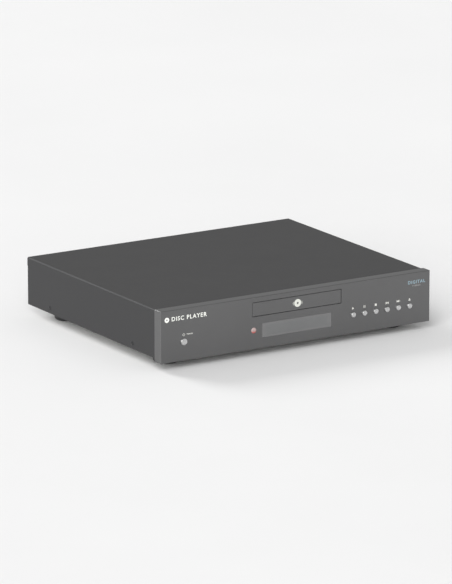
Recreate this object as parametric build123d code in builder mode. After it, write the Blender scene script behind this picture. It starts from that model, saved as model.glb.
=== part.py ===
from build123d import *
import math
import os

# A full-width hi-fi disc player with a sliding disc tray, every piece as its own solid.
# Millimetres: +X to the right of someone facing the player, +Y to its rear, +Z up.
# The origin is the middle of the footprint, on the surface that the feet stand on.

# ---------------------------------------------------------------- case sizes
panel_width = 430.0
panel_height = 72.0
panel_depth = 15.0
body_depth = 340.0
foot_height = 15.5
panel_drop = 4.5
cover_inset = 1.0
cover_step = 0.8
cover_sheet = 1.0
cover_fold = 2.5
base_sheet = 1.2
sheet_gap = 0.2
side_flange = 14.0
rear_lip = 12.0
panel_wall = 3.0
panel_top_wall = 2.0
panel_edge = 1.0

# ---------------------------------------------------------------- front features
button_proud = 2.0
button_travel = 0.8
button_clearance = 0.15
button_radius = 3.6
power_radius = 4.6
button_pitch = 18.3
button_last_inset = 33.3
power_inset = 36.3
control_z = 26.3
button_names = ["play", "pause", "stop", "back", "forward", "eject"]
window_width = 110.6
window_height = 20.0
window_z = 24.4
window_clearance = 0.2
window_lip = 2.0
lens_beside = 13.3
lens_radius = 3.9
lens_lip = 1.2

# ---------------------------------------------------------------- disc tray
disc_radius = 60.0
recess_clearance = 1.0
tray_front_margin = 3.5
tray_front_height = 19.0
tray_front_drop = 7.6
tray_front_depth = 4.5
tray_gap = 0.6
tray_side_rim = 6.0
tray_plate = 2.5
tray_rim = 5.5
tray_rim_width = 2.5
tray_front_rim = 8.0
tray_tail = 3.5
tray_travel = 140.0
slot_half = 19.0
turntable_radius = 15.0
running_gap = 0.3

# ---------------------------------------------------------------- gears and running fits
pin_radius = 2.0
pin_clearance = 0.05
tray_module = 1.0
tray_gear_teeth = 24
tray_wheel_teeth = 28
belt_pinion_teeth = 12
sled_module = 0.8
sled_gear_teeth = 20
sled_wheel_teeth = 30
sled_pinion_teeth = 12
sled_travel = 34.0
lift_angle = 2.5
lift_stroke = 14.0

# ---------------------------------------------------------------- fasteners and connectors
screw_shank = 1.5
screw_hole = 1.6
screw_head = 3.0
screw_head_height = 1.8
jack_length = 10.0
jack_radius = 4.15
jack_root = 3.9
jack_ring = 1.5
jack_bore = 1.6

# ---------------------------------------------------------------- levels and faces
overall_depth = button_proud + panel_depth + body_depth + jack_length
front_y = button_proud - overall_depth / 2
panel_back = front_y + panel_depth
rear_y = panel_back + body_depth
base_z = foot_height
floor_z = base_z + base_sheet
panel_z = base_z - panel_drop
panel_top = panel_z + panel_height
cover_top = panel_top - cover_step
roof_z = cover_top - cover_sheet
panel_half = panel_width / 2
cover_half = panel_half - cover_inset
inside_half = cover_half - cover_sheet
base_half = inside_half - sheet_gap
controls_z = panel_z + control_z
window_mid_z = panel_z + window_z

tray_front_top = panel_top - tray_front_drop
tray_front_bottom = tray_front_top - tray_front_height
tray_low = tray_front_bottom + 4.5
tray_seat = tray_low + tray_plate
tray_rim_top = tray_seat + tray_rim
tray_start = front_y + tray_front_depth
recess_radius = disc_radius + recess_clearance
tray_half = recess_radius + tray_side_rim
tray_front_width = 2 * (tray_half + tray_front_margin)
disc_y = tray_start + tray_front_rim + recess_radius
subpanel_back = panel_back + base_sheet
loader_front = subpanel_back + 0.8
gear_y = loader_front + tray_module * tray_wheel_teeth / 2 + 3.0
tray_end = gear_y + tray_travel + tray_tail

FROM_CORNER = (Align.MIN, Align.MIN, Align.MIN)
FROM_BASE = (Align.CENTER, Align.CENTER, Align.MIN)

os.makedirs("parts", exist_ok=True)


def save(builder, name):
    """Label a finished piece and write it to its STEP file."""
    builder.part.label = name
    export_step(builder.part, "parts/" + name + ".step")


def upright(y):
    """The vertical plane at y, seen from the front: local x to the right, local y up."""
    return Plane.XZ.offset(-y)


def block(low, high, mode=Mode.ADD):
    """A box between two corners, in the part that is being built."""
    with Locations(low):
        Box(high[0] - low[0], high[1] - low[1], high[2] - low[2], align=FROM_CORNER, mode=mode)


def post(x, y, low, high, radius, mode=Mode.ADD):
    """A vertical cylinder between two heights."""
    with Locations((x, y, low)):
        Cylinder(radius, high - low, align=FROM_BASE, mode=mode)


def rod(x, z, front, back, radius, mode=Mode.ADD):
    """A cylinder that lies along Y between two depths."""
    with Locations(Location((x, front, z), (-90, 0, 0))):
        Cylinder(radius, back - front, align=FROM_BASE, mode=mode)


def bar(y, z, left, right, radius, mode=Mode.ADD):
    """A cylinder that lies along X between two places."""
    with Locations(Location((left, y, z), (0, 90, 0))):
        Cylinder(radius, right - left, align=FROM_BASE, mode=mode)


def toothed_wheel(x, y, z, teeth, module, start):
    """A spur gear outline with straight flanks and easy backlash, one tooth at the start angle."""
    pitch_radius = module * teeth / 2
    root = pitch_radius - module
    tip = pitch_radius + 0.8 * module
    tip_half = 0.34 * module
    root_half = 0.90 * module
    with BuildSketch(Plane(origin=(x, y, z))) as wheel:
        Circle(root)
        with PolarLocations(0, teeth, start_angle=start):
            Polygon(
                (root - 0.5 * module, -root_half),
                (root, -root_half),
                (tip, -tip_half),
                (tip, tip_half),
                (root, root_half),
                (root - 0.5 * module, root_half),
                align=None,
            )
    return wheel.sketch


def rack_tooth(module):
    """One straight rack tooth that points along +X, with its pitch line on the local origin."""
    return [
        (-1.3 * module, -0.95 * module),
        (-1.0 * module, -0.95 * module),
        (0.8 * module, -0.33 * module),
        (0.8 * module, 0.33 * module),
        (-1.0 * module, 0.95 * module),
        (-1.3 * module, 0.95 * module),
    ]


# ================================================================ front panel
tray_mouth_half = tray_front_width / 2 + tray_gap
tray_mouth_low = tray_front_bottom - tray_gap
tray_mouth_top = tray_front_top + tray_gap
power_x = power_inset - panel_half
lens_x = -window_width / 2 - lens_beside
button_last_x = panel_half - button_last_inset
button_xs = [button_last_x - button_pitch * n for n in reversed(range(len(button_names)))]
board_front = front_y + 9.4
board_sheet = 1.6
board_back = board_front + board_sheet
front_board_half = panel_half - 19.0
front_board_low = panel_z + 6.0
front_board_high = front_board_low + 33.0
boss_xs = [27.0 - panel_half, -98.0, 79.0, panel_half - 22.0]
boss_z = front_board_low + 4.0
boss_radius = 3.0
corner_boss_x = panel_half - 9.0
corner_boss_zs = [base_z + 6.0, panel_top - 9.0]

with BuildPart() as front_panel:
    block((-panel_half, front_y, panel_z), (panel_half, panel_back, panel_top))
    front_edges = front_panel.edges().group_by(Axis.Y)[0]
    upright_edges = front_panel.edges().filter_by(Axis.Y)
    fillet(front_edges + upright_edges, panel_edge)
    block(
        (-panel_half + panel_wall, front_y + panel_wall, panel_z + panel_wall),
        (panel_half - panel_wall, panel_back, panel_top - panel_top_wall),
        Mode.SUBTRACT,
    )
    block(
        (-tray_mouth_half, front_y - 1, tray_mouth_low),
        (tray_mouth_half, front_y + panel_wall + 1, tray_mouth_top),
        Mode.SUBTRACT,
    )
    with BuildSketch(upright(front_y)) as window_cut:
        with Locations((0, window_mid_z)):
            Rectangle(window_width + 2 * window_clearance, window_height + 2 * window_clearance)
    extrude(amount=-panel_wall, mode=Mode.SUBTRACT)
    round_holes = [(button_x, button_radius) for button_x in button_xs]
    round_holes += [(power_x, power_radius), (lens_x, lens_radius)]
    for hole_x, piece_radius in round_holes:
        hole_radius = piece_radius + button_clearance
        rod(hole_x, controls_z, front_y - 1, front_y + panel_wall + 1, hole_radius, Mode.SUBTRACT)
    for boss_x in boss_xs:
        rod(boss_x, boss_z, front_y + panel_wall, board_front, boss_radius)
        rod(boss_x, boss_z, front_y + panel_wall, board_front, screw_shank, Mode.SUBTRACT)
    for side in (-1, 1):
        for corner_z in corner_boss_zs:
            block(
                (side * corner_boss_x - 6, front_y + panel_wall, corner_z - 4),
                (side * corner_boss_x + 6, panel_back, corner_z + 4),
            )
            rod(side * corner_boss_x, corner_z, panel_back - 8, panel_back, screw_shank, Mode.SUBTRACT)
save(front_panel, "front_panel")

pane_set_back = 0.2
pane_lip_sheet = 1.2
with BuildPart() as display_window:
    with BuildSketch(upright(front_y + pane_set_back)) as pane:
        with Locations((0, window_mid_z)):
            Rectangle(window_width, window_height)
    extrude(amount=-(panel_wall - pane_set_back))
    with BuildSketch(upright(front_y + panel_wall)) as pane_lip:
        with Locations((0, window_mid_z)):
            Rectangle(window_width + 2 * window_lip, window_height + 2 * window_lip)
    extrude(amount=-pane_lip_sheet)
save(display_window, "display_window")

module_half = window_width / 2 - 3.3
module_half_height = window_height / 2 + 1.5
with BuildPart() as display_module:
    block(
        (-module_half, front_y + panel_wall + 1.5, window_mid_z - module_half_height),
        (module_half, board_front, window_mid_z + module_half_height),
    )
    chamfer(display_module.edges().group_by(Axis.Y)[0], 0.6)
save(display_module, "display_module")

lens_proud = 0.5
with BuildPart() as sensor_lens:
    rod(lens_x, controls_z, front_y - lens_proud, front_y + panel_wall, lens_radius)
    fillet(sensor_lens.edges().group_by(Axis.Y)[0], 0.45)
    rod(lens_x, controls_z, front_y + panel_wall, front_y + panel_wall + lens_lip, lens_radius + lens_lip)
    rod(lens_x, controls_z, front_y + panel_wall + lens_lip, board_front, lens_radius - 0.8)
save(sensor_lens, "sensor_lens")

with BuildPart() as front_board:
    block(
        (-front_board_half, board_front, front_board_low),
        (front_board_half, board_back, front_board_high),
    )
    for boss_x in boss_xs:
        rod(boss_x, boss_z, board_front, board_back, screw_hole, Mode.SUBTRACT)
save(front_board, "front_board")

flange_front = front_y + panel_wall + 0.1
flange_sheet = 1.2
plunger_front = flange_front + flange_sheet + button_travel + 0.1
plunger_length = 0.8
plunger_radius = 1.7
switch_half = 3.0
flange_overhang = 1.1
with BuildPart() as button_switches:
    for switch_x in button_xs + [power_x]:
        block(
            (switch_x - switch_half, plunger_front + plunger_length, controls_z - switch_half),
            (switch_x + switch_half, board_front, controls_z + switch_half),
        )
        rod(switch_x, controls_z, plunger_front, plunger_front + plunger_length, plunger_radius)
save(button_switches, "button_switches")


def push_button(name, x, radius):
    """A round cap with a domed face and a flange that keeps it behind the panel."""
    with BuildPart() as button:
        rod(x, controls_z, front_y - button_proud, flange_front, radius)
        fillet(button.edges().group_by(Axis.Y)[0], 0.6)
        rod(x, controls_z, flange_front, flange_front + flange_sheet, radius + flange_overhang)
    save(button, name)


push_button("power_button", power_x, power_radius)
for button_name, button_x in zip(button_names, button_xs):
    push_button(button_name + "_button", button_x, button_radius)

# ================================================================ chassis, rear panel and cover
foot_x = panel_half - 37.0
foot_radius = 19.0
foot_inset = 46.0
foot_ys = [front_y + foot_inset, rear_y - foot_inset]
foot_places = [(side * foot_x, foot_y) for side in (-1, 1) for foot_y in foot_ys]
rear_inner = rear_y - base_sheet
side_screw_ys = [panel_back + 60.0, rear_y - 60.0]
side_screw_z = base_z + 7.5
lip_screw_xs = [45.0 - panel_half, 0.0, panel_half - 45.0]
lip_screw_z = cover_top - 7.0
rear_screw_xs = [25.0 - panel_half, -60.0, 60.0, panel_half - 25.0]
rear_screw_z = base_z + 4.5
rear_flange = 7.0
vent_x = panel_half - 70.0
vent_front = front_y + 110.0
vent_rows = 7
vent_pitch = 12.0
vent_width = 70.0
vent_slot = 4.0
ribbon_half = 9.0
standoff_height = 6.0
standoff_radius = 3.0
board_low = floor_z + standoff_height
board_top = board_low + board_sheet
leg_x = tray_half + 10.0
leg_radius = 5.0
main_board_left = leg_x + leg_radius + 6.0
main_board_right = panel_half - 11.0
ribbon_x = main_board_left + 23.0
main_board_front = rear_y - 190.0
main_board_back = rear_inner - 3.0
power_board_left = 11.0 - panel_half
power_board_right = 119.0 - panel_half
power_board_front = rear_y - 96.0
board_edge = 6.0
board_holes = [
    (main_board_left + board_edge, main_board_front + board_edge),
    (main_board_right - board_edge, main_board_front + board_edge),
    (main_board_left + board_edge, main_board_back - 30.0),
    (main_board_right - board_edge, main_board_back - 30.0),
    (power_board_left + board_edge, power_board_front + board_edge),
    (power_board_right - board_edge, power_board_front + board_edge),
    (power_board_left + board_edge, main_board_back - board_edge),
    (power_board_right - board_edge, main_board_back - board_edge),
]
loader_rear = tray_end + 12.0
leg_ys = (loader_front + 12.0, loader_rear - 12.0)
leg_places = [(side * leg_x, leg_y) for side in (-1, 1) for leg_y in leg_ys]

with BuildPart() as chassis_base:
    block((-base_half, panel_back, base_z), (base_half, rear_inner, floor_z))
    block((-base_half, panel_back, floor_z), (base_half, subpanel_back, roof_z - sheet_gap))
    for side in (-1, 1):
        inner = side * (base_half - base_sheet)
        outer = side * base_half
        block(
            (min(inner, outer), subpanel_back, floor_z),
            (max(inner, outer), rear_inner, floor_z + side_flange),
        )
    block((-base_half, rear_inner - base_sheet, floor_z), (base_half, rear_inner, floor_z + rear_flange))
    block(
        (-tray_half - 5, panel_back - 1, tray_front_bottom - 1.5),
        (tray_half + 5, subpanel_back + 1, tray_front_top - 2.5),
        Mode.SUBTRACT,
    )
    block(
        (ribbon_x - ribbon_half - 6, panel_back - 1, front_board_low + 6),
        (ribbon_x + ribbon_half + 6, subpanel_back + 1, front_board_low + 22),
        Mode.SUBTRACT,
    )
    for side in (-1, 1):
        for corner_z in corner_boss_zs:
            rod(side * corner_boss_x, corner_z, panel_back, subpanel_back, screw_hole, Mode.SUBTRACT)
        for screw_y in side_screw_ys:
            inner = side * (base_half - base_sheet - 1)
            outer = side * (base_half + 1)
            bar(screw_y, side_screw_z, min(inner, outer), max(inner, outer), screw_hole, Mode.SUBTRACT)
    for screw_x in rear_screw_xs:
        rod(screw_x, rear_screw_z, rear_inner - base_sheet, rear_inner, screw_hole, Mode.SUBTRACT)
    for foot_place in foot_places:
        post(foot_place[0], foot_place[1], base_z, floor_z, screw_hole, Mode.SUBTRACT)
    for slot_row in range(vent_rows):
        for side in (-1, 1):
            with Locations((side * vent_x, vent_front + vent_pitch * slot_row, base_z)):
                Box(vent_width, vent_slot, base_sheet, align=FROM_BASE, mode=Mode.SUBTRACT)
    for hole in board_holes:
        post(hole[0], hole[1], floor_z, board_low, standoff_radius)
        post(hole[0], hole[1], floor_z + 1, board_low, screw_shank, Mode.SUBTRACT)
save(chassis_base, "chassis_base")

jack_z = board_top + 12.0
line_jack_xs = [panel_half - 51.0, panel_half - 31.0]
coax_x = panel_half - 77.0
optical_x = panel_half - 101.0
jack_xs = line_jack_xs + [coax_x]
jack_block_half = 8.0
jack_block_low = board_top
jack_block_high = jack_z + 8.0
ring_radius = 6.0
optical_half = 7.0
inlet_x = 50.0 - panel_half
inlet_half = 12.0
inlet_half_height = 8.0
inlet_flange = 3.0
socket_half = 7.8
socket_radius = 3.9
rear_vents = 9
rear_vent_pitch = 15.0

with BuildPart() as rear_panel:
    block((-base_half, rear_inner, base_z), (base_half, rear_y, roof_z - sheet_gap))
    for jack_x in jack_xs:
        rod(jack_x, jack_z, rear_inner - 1, rear_y + 1, ring_radius + 0.1, Mode.SUBTRACT)
    block(
        (optical_x - optical_half, rear_inner - 1, jack_z - optical_half),
        (optical_x + optical_half, rear_y + 1, jack_z + optical_half),
        Mode.SUBTRACT,
    )
    block(
        (inlet_x - inlet_half, rear_inner - 1, jack_z - inlet_half_height),
        (inlet_x + inlet_half, rear_y + 1, jack_z + inlet_half_height),
        Mode.SUBTRACT,
    )
    for screw_x in rear_screw_xs:
        rod(screw_x, rear_screw_z, rear_inner - 1, rear_y + 1, screw_hole, Mode.SUBTRACT)
    for screw_x in lip_screw_xs:
        rod(screw_x, lip_screw_z, rear_inner - 1, rear_y + 1, screw_hole, Mode.SUBTRACT)
    for vent_column in range(rear_vents):
        with Locations((rear_vent_pitch * (vent_column - rear_vents // 2), rear_inner, base_z + 34)):
            Box(3, 4, 18, align=FROM_BASE, mode=Mode.SUBTRACT)
save(rear_panel, "rear_panel")

with BuildPart() as top_cover:
    block((-cover_half, panel_back, base_z), (cover_half, rear_y + cover_sheet, cover_top))
    fold_edges = top_cover.edges().filter_by(Axis.Y).group_by(Axis.Z)[-1]
    fillet(fold_edges, cover_fold)
    block((-inside_half, panel_back, base_z), (inside_half, rear_y, roof_z), Mode.SUBTRACT)
    block(
        (-cover_half, rear_y, base_z),
        (cover_half, rear_y + cover_sheet, cover_top - rear_lip),
        Mode.SUBTRACT,
    )
    for side in (-1, 1):
        for screw_y in side_screw_ys:
            inner = side * (inside_half - 1)
            outer = side * (cover_half + 1)
            bar(screw_y, side_screw_z, min(inner, outer), max(inner, outer), screw_hole, Mode.SUBTRACT)
    for screw_x in lip_screw_xs:
        rod(screw_x, lip_screw_z, rear_y, rear_y + cover_sheet, screw_hole, Mode.SUBTRACT)
save(top_cover, "top_cover")

screw_length = 6.0
flat_head_height = 0.9
lip_face = rear_y + cover_sheet
with BuildPart() as case_screws:
    for side in (-1, 1):
        for screw_y in side_screw_ys:
            face = side * cover_half
            tip = side * (cover_half - screw_length)
            head = side * (cover_half + flat_head_height)
            bar(screw_y, side_screw_z, min(face, tip), max(face, tip), screw_shank)
            bar(screw_y, side_screw_z, min(face, head), max(face, head), screw_head)
        boss_x = side * corner_boss_x
        for corner_z in corner_boss_zs:
            rod(boss_x, corner_z, subpanel_back, subpanel_back + screw_head_height, screw_head)
            rod(boss_x, corner_z, subpanel_back - screw_length, subpanel_back, screw_shank - 0.1)
    for screw_x in lip_screw_xs:
        rod(screw_x, lip_screw_z, lip_face, lip_face + screw_head_height, screw_head)
        rod(screw_x, lip_screw_z, lip_face - screw_length, lip_face, screw_shank)
    for screw_x in rear_screw_xs:
        rod(screw_x, rear_screw_z, rear_y, rear_y + screw_head_height, screw_head)
        rod(screw_x, rear_screw_z, rear_y - screw_length, rear_y, screw_shank)
save(case_screws, "case_screws")

pad_outer = 15.0
pad_inner = 8.0
pad_height = 2.0
pad_seat = 1.0
foot_bore = 6.0
foot_web = 4.0
with BuildPart() as feet:
    for foot_place in foot_places:
        with Locations((foot_place[0], foot_place[1], pad_seat)):
            Cone(foot_radius - 1.5, foot_radius, base_z - pad_seat, align=FROM_BASE)
    fillet(feet.edges().group_by(Axis.Z)[0], 0.9)
    for foot_place in foot_places:
        post(foot_place[0], foot_place[1], pad_seat, pad_height, pad_outer + 0.1, Mode.SUBTRACT)
        post(foot_place[0], foot_place[1], pad_seat, base_z - foot_web, foot_bore, Mode.SUBTRACT)
        post(foot_place[0], foot_place[1], pad_seat, base_z, screw_hole, Mode.SUBTRACT)
save(feet, "feet")

with BuildPart() as foot_pads:
    for foot_place in foot_places:
        post(foot_place[0], foot_place[1], 0, pad_height, pad_outer)
        post(foot_place[0], foot_place[1], 0, pad_height, pad_inner, Mode.SUBTRACT)
save(foot_pads, "foot_pads")

with BuildPart() as foot_screws:
    for foot_place in foot_places:
        head_top = base_z - foot_web
        post(foot_place[0], foot_place[1], head_top - screw_head_height, head_top, screw_head)
        post(foot_place[0], foot_place[1], head_top, floor_z + 2.0, screw_shank)
save(foot_screws, "foot_screws")

# ================================================================ disc tray
rim_half = recess_radius + tray_rim_width
block_end = disc_y + recess_radius + tray_front_rim
rack_line = 19.0 - tray_half
rack_low = tray_low - 3.2
rack_start = gear_y - 9.0 * tray_module
rack_pitch = math.pi * tray_module
rack_count = math.ceil((tray_travel + 7.5) / rack_pitch)
finger_radius = 9.0
small_disc_radius = 41.0
small_disc_step = 0.9
with BuildPart() as disc_tray:
    block((-tray_half, tray_start, tray_low), (tray_half, tray_end, tray_seat))
    block((-rim_half, tray_start, tray_seat), (rim_half, block_end, tray_rim_top))
    fillet(disc_tray.faces().sort_by(Axis.Z)[-1].edges(), 1.0)
    post(0, disc_y, tray_seat, tray_rim_top, recess_radius, Mode.SUBTRACT)
    post(0, disc_y, tray_seat - small_disc_step, tray_seat, small_disc_radius, Mode.SUBTRACT)
    block((7 - tray_half, tray_start, tray_seat), (tray_half - 7, tray_start + 2.0, tray_front_top - 3.0))
    post(0, disc_y, tray_low - 1, tray_rim_top, slot_half, Mode.SUBTRACT)
    block((-slot_half, disc_y, tray_low - 1), (slot_half, tray_end + 1, tray_rim_top + 1), Mode.SUBTRACT)
    with Locations((0, disc_y - recess_radius, tray_seat - 1.2)):
        Cylinder(finger_radius, 10.0, align=FROM_BASE, mode=Mode.SUBTRACT)
    block((rack_line - 4.0, rack_start, rack_low), (rack_line - tray_module, tray_end - 2.0, tray_low))
    with BuildSketch(Plane(origin=(rack_line, 0, rack_low))) as rack_outline:
        for tooth in range(rack_count):
            with Locations((0, gear_y + rack_pitch * (tooth - 2.5))):
                Polygon(*rack_tooth(tray_module), align=None)
    extrude(amount=tray_low - rack_low)
save(disc_tray, "disc_tray")

with BuildPart() as tray_front:
    block(
        (-tray_front_width / 2, front_y, tray_front_bottom),
        (tray_front_width / 2, tray_start, tray_front_top),
    )
    fillet(tray_front.edges().group_by(Axis.Y)[0], 0.5)
save(tray_front, "tray_front")

# ================================================================ loader frame
loader_low = tray_low - 17.5
loader_plate = 2.5
loader_top = loader_low + loader_plate
wall_inner = tray_half + 0.5
wall_sheet = 3.0
wall_outer = wall_inner + wall_sheet
wall_top = tray_rim_top + 0.5
bridge_seat = tray_rim_top + 2.5
bridge_top = bridge_seat + base_sheet
bridge_half = 17.0
bridge_screw_x = wall_inner + wall_sheet / 2
bridge_screw_ys = [disc_y - bridge_half + 5.0, disc_y + bridge_half - 5.0]
well_left = -42.0
well_right = 64.0
well_front = disc_y - 20.0
well_back = disc_y + 98.0
ring_front = disc_y - 19.0
ring_back = disc_y + 96.0
ring_left = -40.0
ring_right = 62.0
pivot_y = disc_y + 92.0
pivot_z = loader_low + 2.5
tray_gear_x = rack_line + tray_module * tray_gear_teeth / 2
belt_gear_x = tray_gear_x + tray_module * (tray_wheel_teeth + belt_pinion_teeth) / 2
big_pulley = 14.0
tray_motor_x = belt_gear_x + 41.0
tray_gear_top = tray_low - 0.5
wheel_low = loader_top + 2.3
wheel_high = wheel_low + 4.0
pulley_low = wheel_high + 0.5
pulley_high = pulley_low + 3.6
rack_gear_low = rack_low - 0.2
slider_front = disc_y - 23.7
slider_back = slider_front + 1.8
slider_left = 16.0
slider_right = 50.0
lift_pin_x = 38.0
lift_pin_z = loader_top + 8.0
lift_pin_radius = 1.5
guide_height = 9.0
guide_sheet = 1.2
guide_gap = 0.3
self_tap_hole = 1.0
self_tap_shank = 0.95
motor_hole = 3.2

with BuildPart() as loader_frame:
    block((-wall_outer, loader_front, loader_low), (wall_outer, loader_rear, loader_top))
    block((well_left, well_front, loader_low), (well_right, well_back, loader_top), Mode.SUBTRACT)
    for side in (-1, 1):
        near = side * wall_inner
        far = side * wall_outer
        ledge = side * (wall_inner - 4.0)
        tab = side * (wall_inner - 3.0)
        block((min(near, far), loader_front, loader_top), (max(near, far), loader_rear, wall_top))
        block(
            (min(near, ledge), loader_front, tray_low - 3.0),
            (max(near, ledge), loader_rear, tray_low - running_gap),
        )
        for tab_y in (loader_front + 2, loader_front + 60, loader_rear - 40):
            block(
                (min(near, tab), tab_y, tray_seat + running_gap),
                (max(near, tab), tab_y + 14, tray_seat + running_gap + 2.0),
            )
        for bridge_y in bridge_screw_ys:
            block((min(near, far), bridge_y - 4, wall_top), (max(near, far), bridge_y + 4, bridge_seat))
            post(side * bridge_screw_x, bridge_y, bridge_seat - 7, bridge_seat, self_tap_hole, Mode.SUBTRACT)
    for leg_place in leg_places:
        lug_inner = math.copysign(wall_outer, leg_place[0])
        lug_outer = math.copysign(leg_x + leg_radius, leg_place[0])
        block(
            (min(lug_inner, lug_outer), leg_place[1] - leg_radius, loader_low),
            (max(lug_inner, lug_outer), leg_place[1] + leg_radius, loader_top),
        )
        post(leg_place[0], leg_place[1], floor_z, loader_top, leg_radius)
        post(leg_place[0], leg_place[1], loader_top - 12, loader_top, self_tap_hole, Mode.SUBTRACT)
    post(tray_gear_x, gear_y, loader_top, tray_gear_top, pin_radius)
    post(tray_gear_x, gear_y, loader_top, wheel_low - 0.2, pin_radius + 2)
    post(belt_gear_x, gear_y, loader_top, pulley_high, pin_radius)
    post(belt_gear_x, gear_y, loader_top, wheel_low - 0.2, pin_radius + 2)
    post(tray_motor_x, gear_y, loader_low, loader_top, motor_hole, Mode.SUBTRACT)
    guide_front = slider_front - guide_gap
    guide_back = slider_back + guide_gap
    guide_left = belt_gear_x + big_pulley + 6.0
    guide_right = slider_right + 4
    guide_top = loader_top + guide_height
    block((guide_left, guide_front - guide_sheet, loader_top), (guide_right, guide_front, guide_top))
    block((guide_left, guide_back, loader_top), (lift_pin_x - 8, guide_back + guide_sheet, guide_top))
    block((lift_pin_x + 8, guide_back, loader_top), (guide_right, guide_back + guide_sheet, guide_top))
    block((well_left - 4.8, pivot_y - 4, loader_top), (well_left - 0.3, pivot_y + 4, pivot_z + 4))
    block((well_right + 0.3, pivot_y - 4, loader_top), (wall_inner, pivot_y + 4, pivot_z + 4))
    bar(pivot_y, pivot_z, well_left - 6, well_left, pin_radius + pin_clearance, Mode.SUBTRACT)
    bar(pivot_y, pivot_z, well_right, wall_inner, pin_radius + pin_clearance, Mode.SUBTRACT)
save(loader_frame, "loader_frame")

with BuildPart() as loader_screws:
    for leg_place in leg_places:
        post(leg_place[0], leg_place[1], loader_top, loader_top + screw_head_height, screw_head)
        post(leg_place[0], leg_place[1], loader_top - 10, loader_top, self_tap_shank)
    for side in (-1, 1):
        bridge_x = side * bridge_screw_x
        for bridge_y in bridge_screw_ys:
            post(bridge_x, bridge_y, bridge_top, bridge_top + 1.6, screw_head - 0.2)
            post(bridge_x, bridge_y, bridge_seat - 5, bridge_top, self_tap_shank)
save(loader_screws, "loader_screws")

motor_radius = 11.0
motor_shaft = 1.0
with BuildPart() as tray_motor:
    post(tray_motor_x, gear_y, loader_low - 15.0, loader_low, motor_radius)
    fillet(tray_motor.edges().group_by(Axis.Z)[0], 1.0)
    post(tray_motor_x, gear_y, loader_low, loader_top, motor_hole - 0.2)
    post(tray_motor_x, gear_y, loader_top, pulley_high, motor_shaft)
save(tray_motor, "tray_motor")

belt_thickness = 1.0
belt_height = 1.2
belt_mid = (pulley_low + pulley_high) / 2
small_pulley = 4.2
groove_depth = 1.3
groove_half = 0.9
with BuildPart() as motor_pulley:
    post(tray_motor_x, gear_y, pulley_low, pulley_high, small_pulley)
    post(tray_motor_x, gear_y, belt_mid - groove_half, belt_mid + groove_half, small_pulley, Mode.SUBTRACT)
    post(tray_motor_x, gear_y, belt_mid - groove_half, belt_mid + groove_half, small_pulley - groove_depth)
    post(tray_motor_x, gear_y, pulley_low - 1.5, pulley_low, 2.5)
    post(tray_motor_x, gear_y, pulley_low - 1.5, pulley_high, motor_shaft + pin_clearance, Mode.SUBTRACT)
save(motor_pulley, "motor_pulley")

half_tooth = 180 / belt_pinion_teeth
with BuildPart() as belt_gear:
    extrude(
        toothed_wheel(belt_gear_x, gear_y, wheel_low, belt_pinion_teeth, tray_module, half_tooth),
        amount=pulley_low - wheel_low,
    )
    post(belt_gear_x, gear_y, pulley_low, pulley_high, big_pulley)
    post(belt_gear_x, gear_y, belt_mid - groove_half, belt_mid + groove_half, big_pulley, Mode.SUBTRACT)
    post(belt_gear_x, gear_y, belt_mid - groove_half, belt_mid + groove_half, big_pulley - groove_depth)
    post(belt_gear_x, gear_y, wheel_low, pulley_high, pin_radius + pin_clearance, Mode.SUBTRACT)
save(belt_gear, "belt_gear")

belt_big = big_pulley - groove_depth + running_gap
belt_small = small_pulley - groove_depth + running_gap
with BuildPart() as drive_belt:
    with BuildSketch(Plane.XY.offset(belt_mid - belt_height / 2)) as belt_outside:
        with Locations((belt_gear_x, gear_y)):
            Circle(belt_big + belt_thickness)
        with Locations((tray_motor_x, gear_y)):
            Circle(belt_small + belt_thickness)
        make_hull()
    extrude(amount=belt_height)
    with BuildSketch(Plane.XY.offset(belt_mid - belt_height / 2)) as belt_inside:
        with Locations((belt_gear_x, gear_y)):
            Circle(belt_big)
        with Locations((tray_motor_x, gear_y)):
            Circle(belt_small)
        make_hull()
    extrude(amount=belt_height, mode=Mode.SUBTRACT)
save(drive_belt, "drive_belt")

with BuildPart() as tray_gear:
    extrude(
        toothed_wheel(tray_gear_x, gear_y, wheel_low, tray_wheel_teeth, tray_module, 0),
        amount=wheel_high - wheel_low,
    )
    post(tray_gear_x, gear_y, wheel_high, rack_gear_low, 5.0)
    extrude(
        toothed_wheel(tray_gear_x, gear_y, rack_gear_low, tray_gear_teeth, tray_module, 180),
        amount=tray_gear_top - rack_gear_low,
    )
    post(tray_gear_x, gear_y, wheel_low, tray_gear_top, pin_radius + pin_clearance, Mode.SUBTRACT)
save(tray_gear, "tray_gear")

# ================================================================ disc clamp
clamp_radius = 15.0
clamp_neck = 9.0
clamp_low = tray_seat + 2.4
clamp_high = bridge_seat - 0.8
with BuildPart() as clamp_bridge:
    block(
        (-wall_outer, disc_y - bridge_half, bridge_seat),
        (wall_outer, disc_y + bridge_half, bridge_top),
    )
    fillet(clamp_bridge.edges().filter_by(Axis.Z), 3.0)
    post(0, disc_y, bridge_seat, bridge_top, clamp_neck + 1.2, Mode.SUBTRACT)
    for side in (-1, 1):
        with BuildSketch(Plane.XY.offset(bridge_seat)) as lightening:
            with Locations((side * 38, disc_y)):
                SlotOverall(40, 14)
        extrude(amount=base_sheet, mode=Mode.SUBTRACT)
        for bridge_y in bridge_screw_ys:
            bridge_hole = self_tap_hole + 0.05
            post(side * bridge_screw_x, bridge_y, bridge_seat, bridge_top, bridge_hole, Mode.SUBTRACT)
save(clamp_bridge, "clamp_bridge")

cone_top = tray_seat + 3.5
with BuildPart() as disc_clamp:
    post(0, disc_y, clamp_low, clamp_high, clamp_radius)
    fillet(disc_clamp.edges(), 0.8)
    post(0, disc_y, clamp_high, bridge_top + running_gap, clamp_neck)
    post(0, disc_y, clamp_low, cone_top + 1.2, 9.0, Mode.SUBTRACT)
save(disc_clamp, "disc_clamp")

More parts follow.
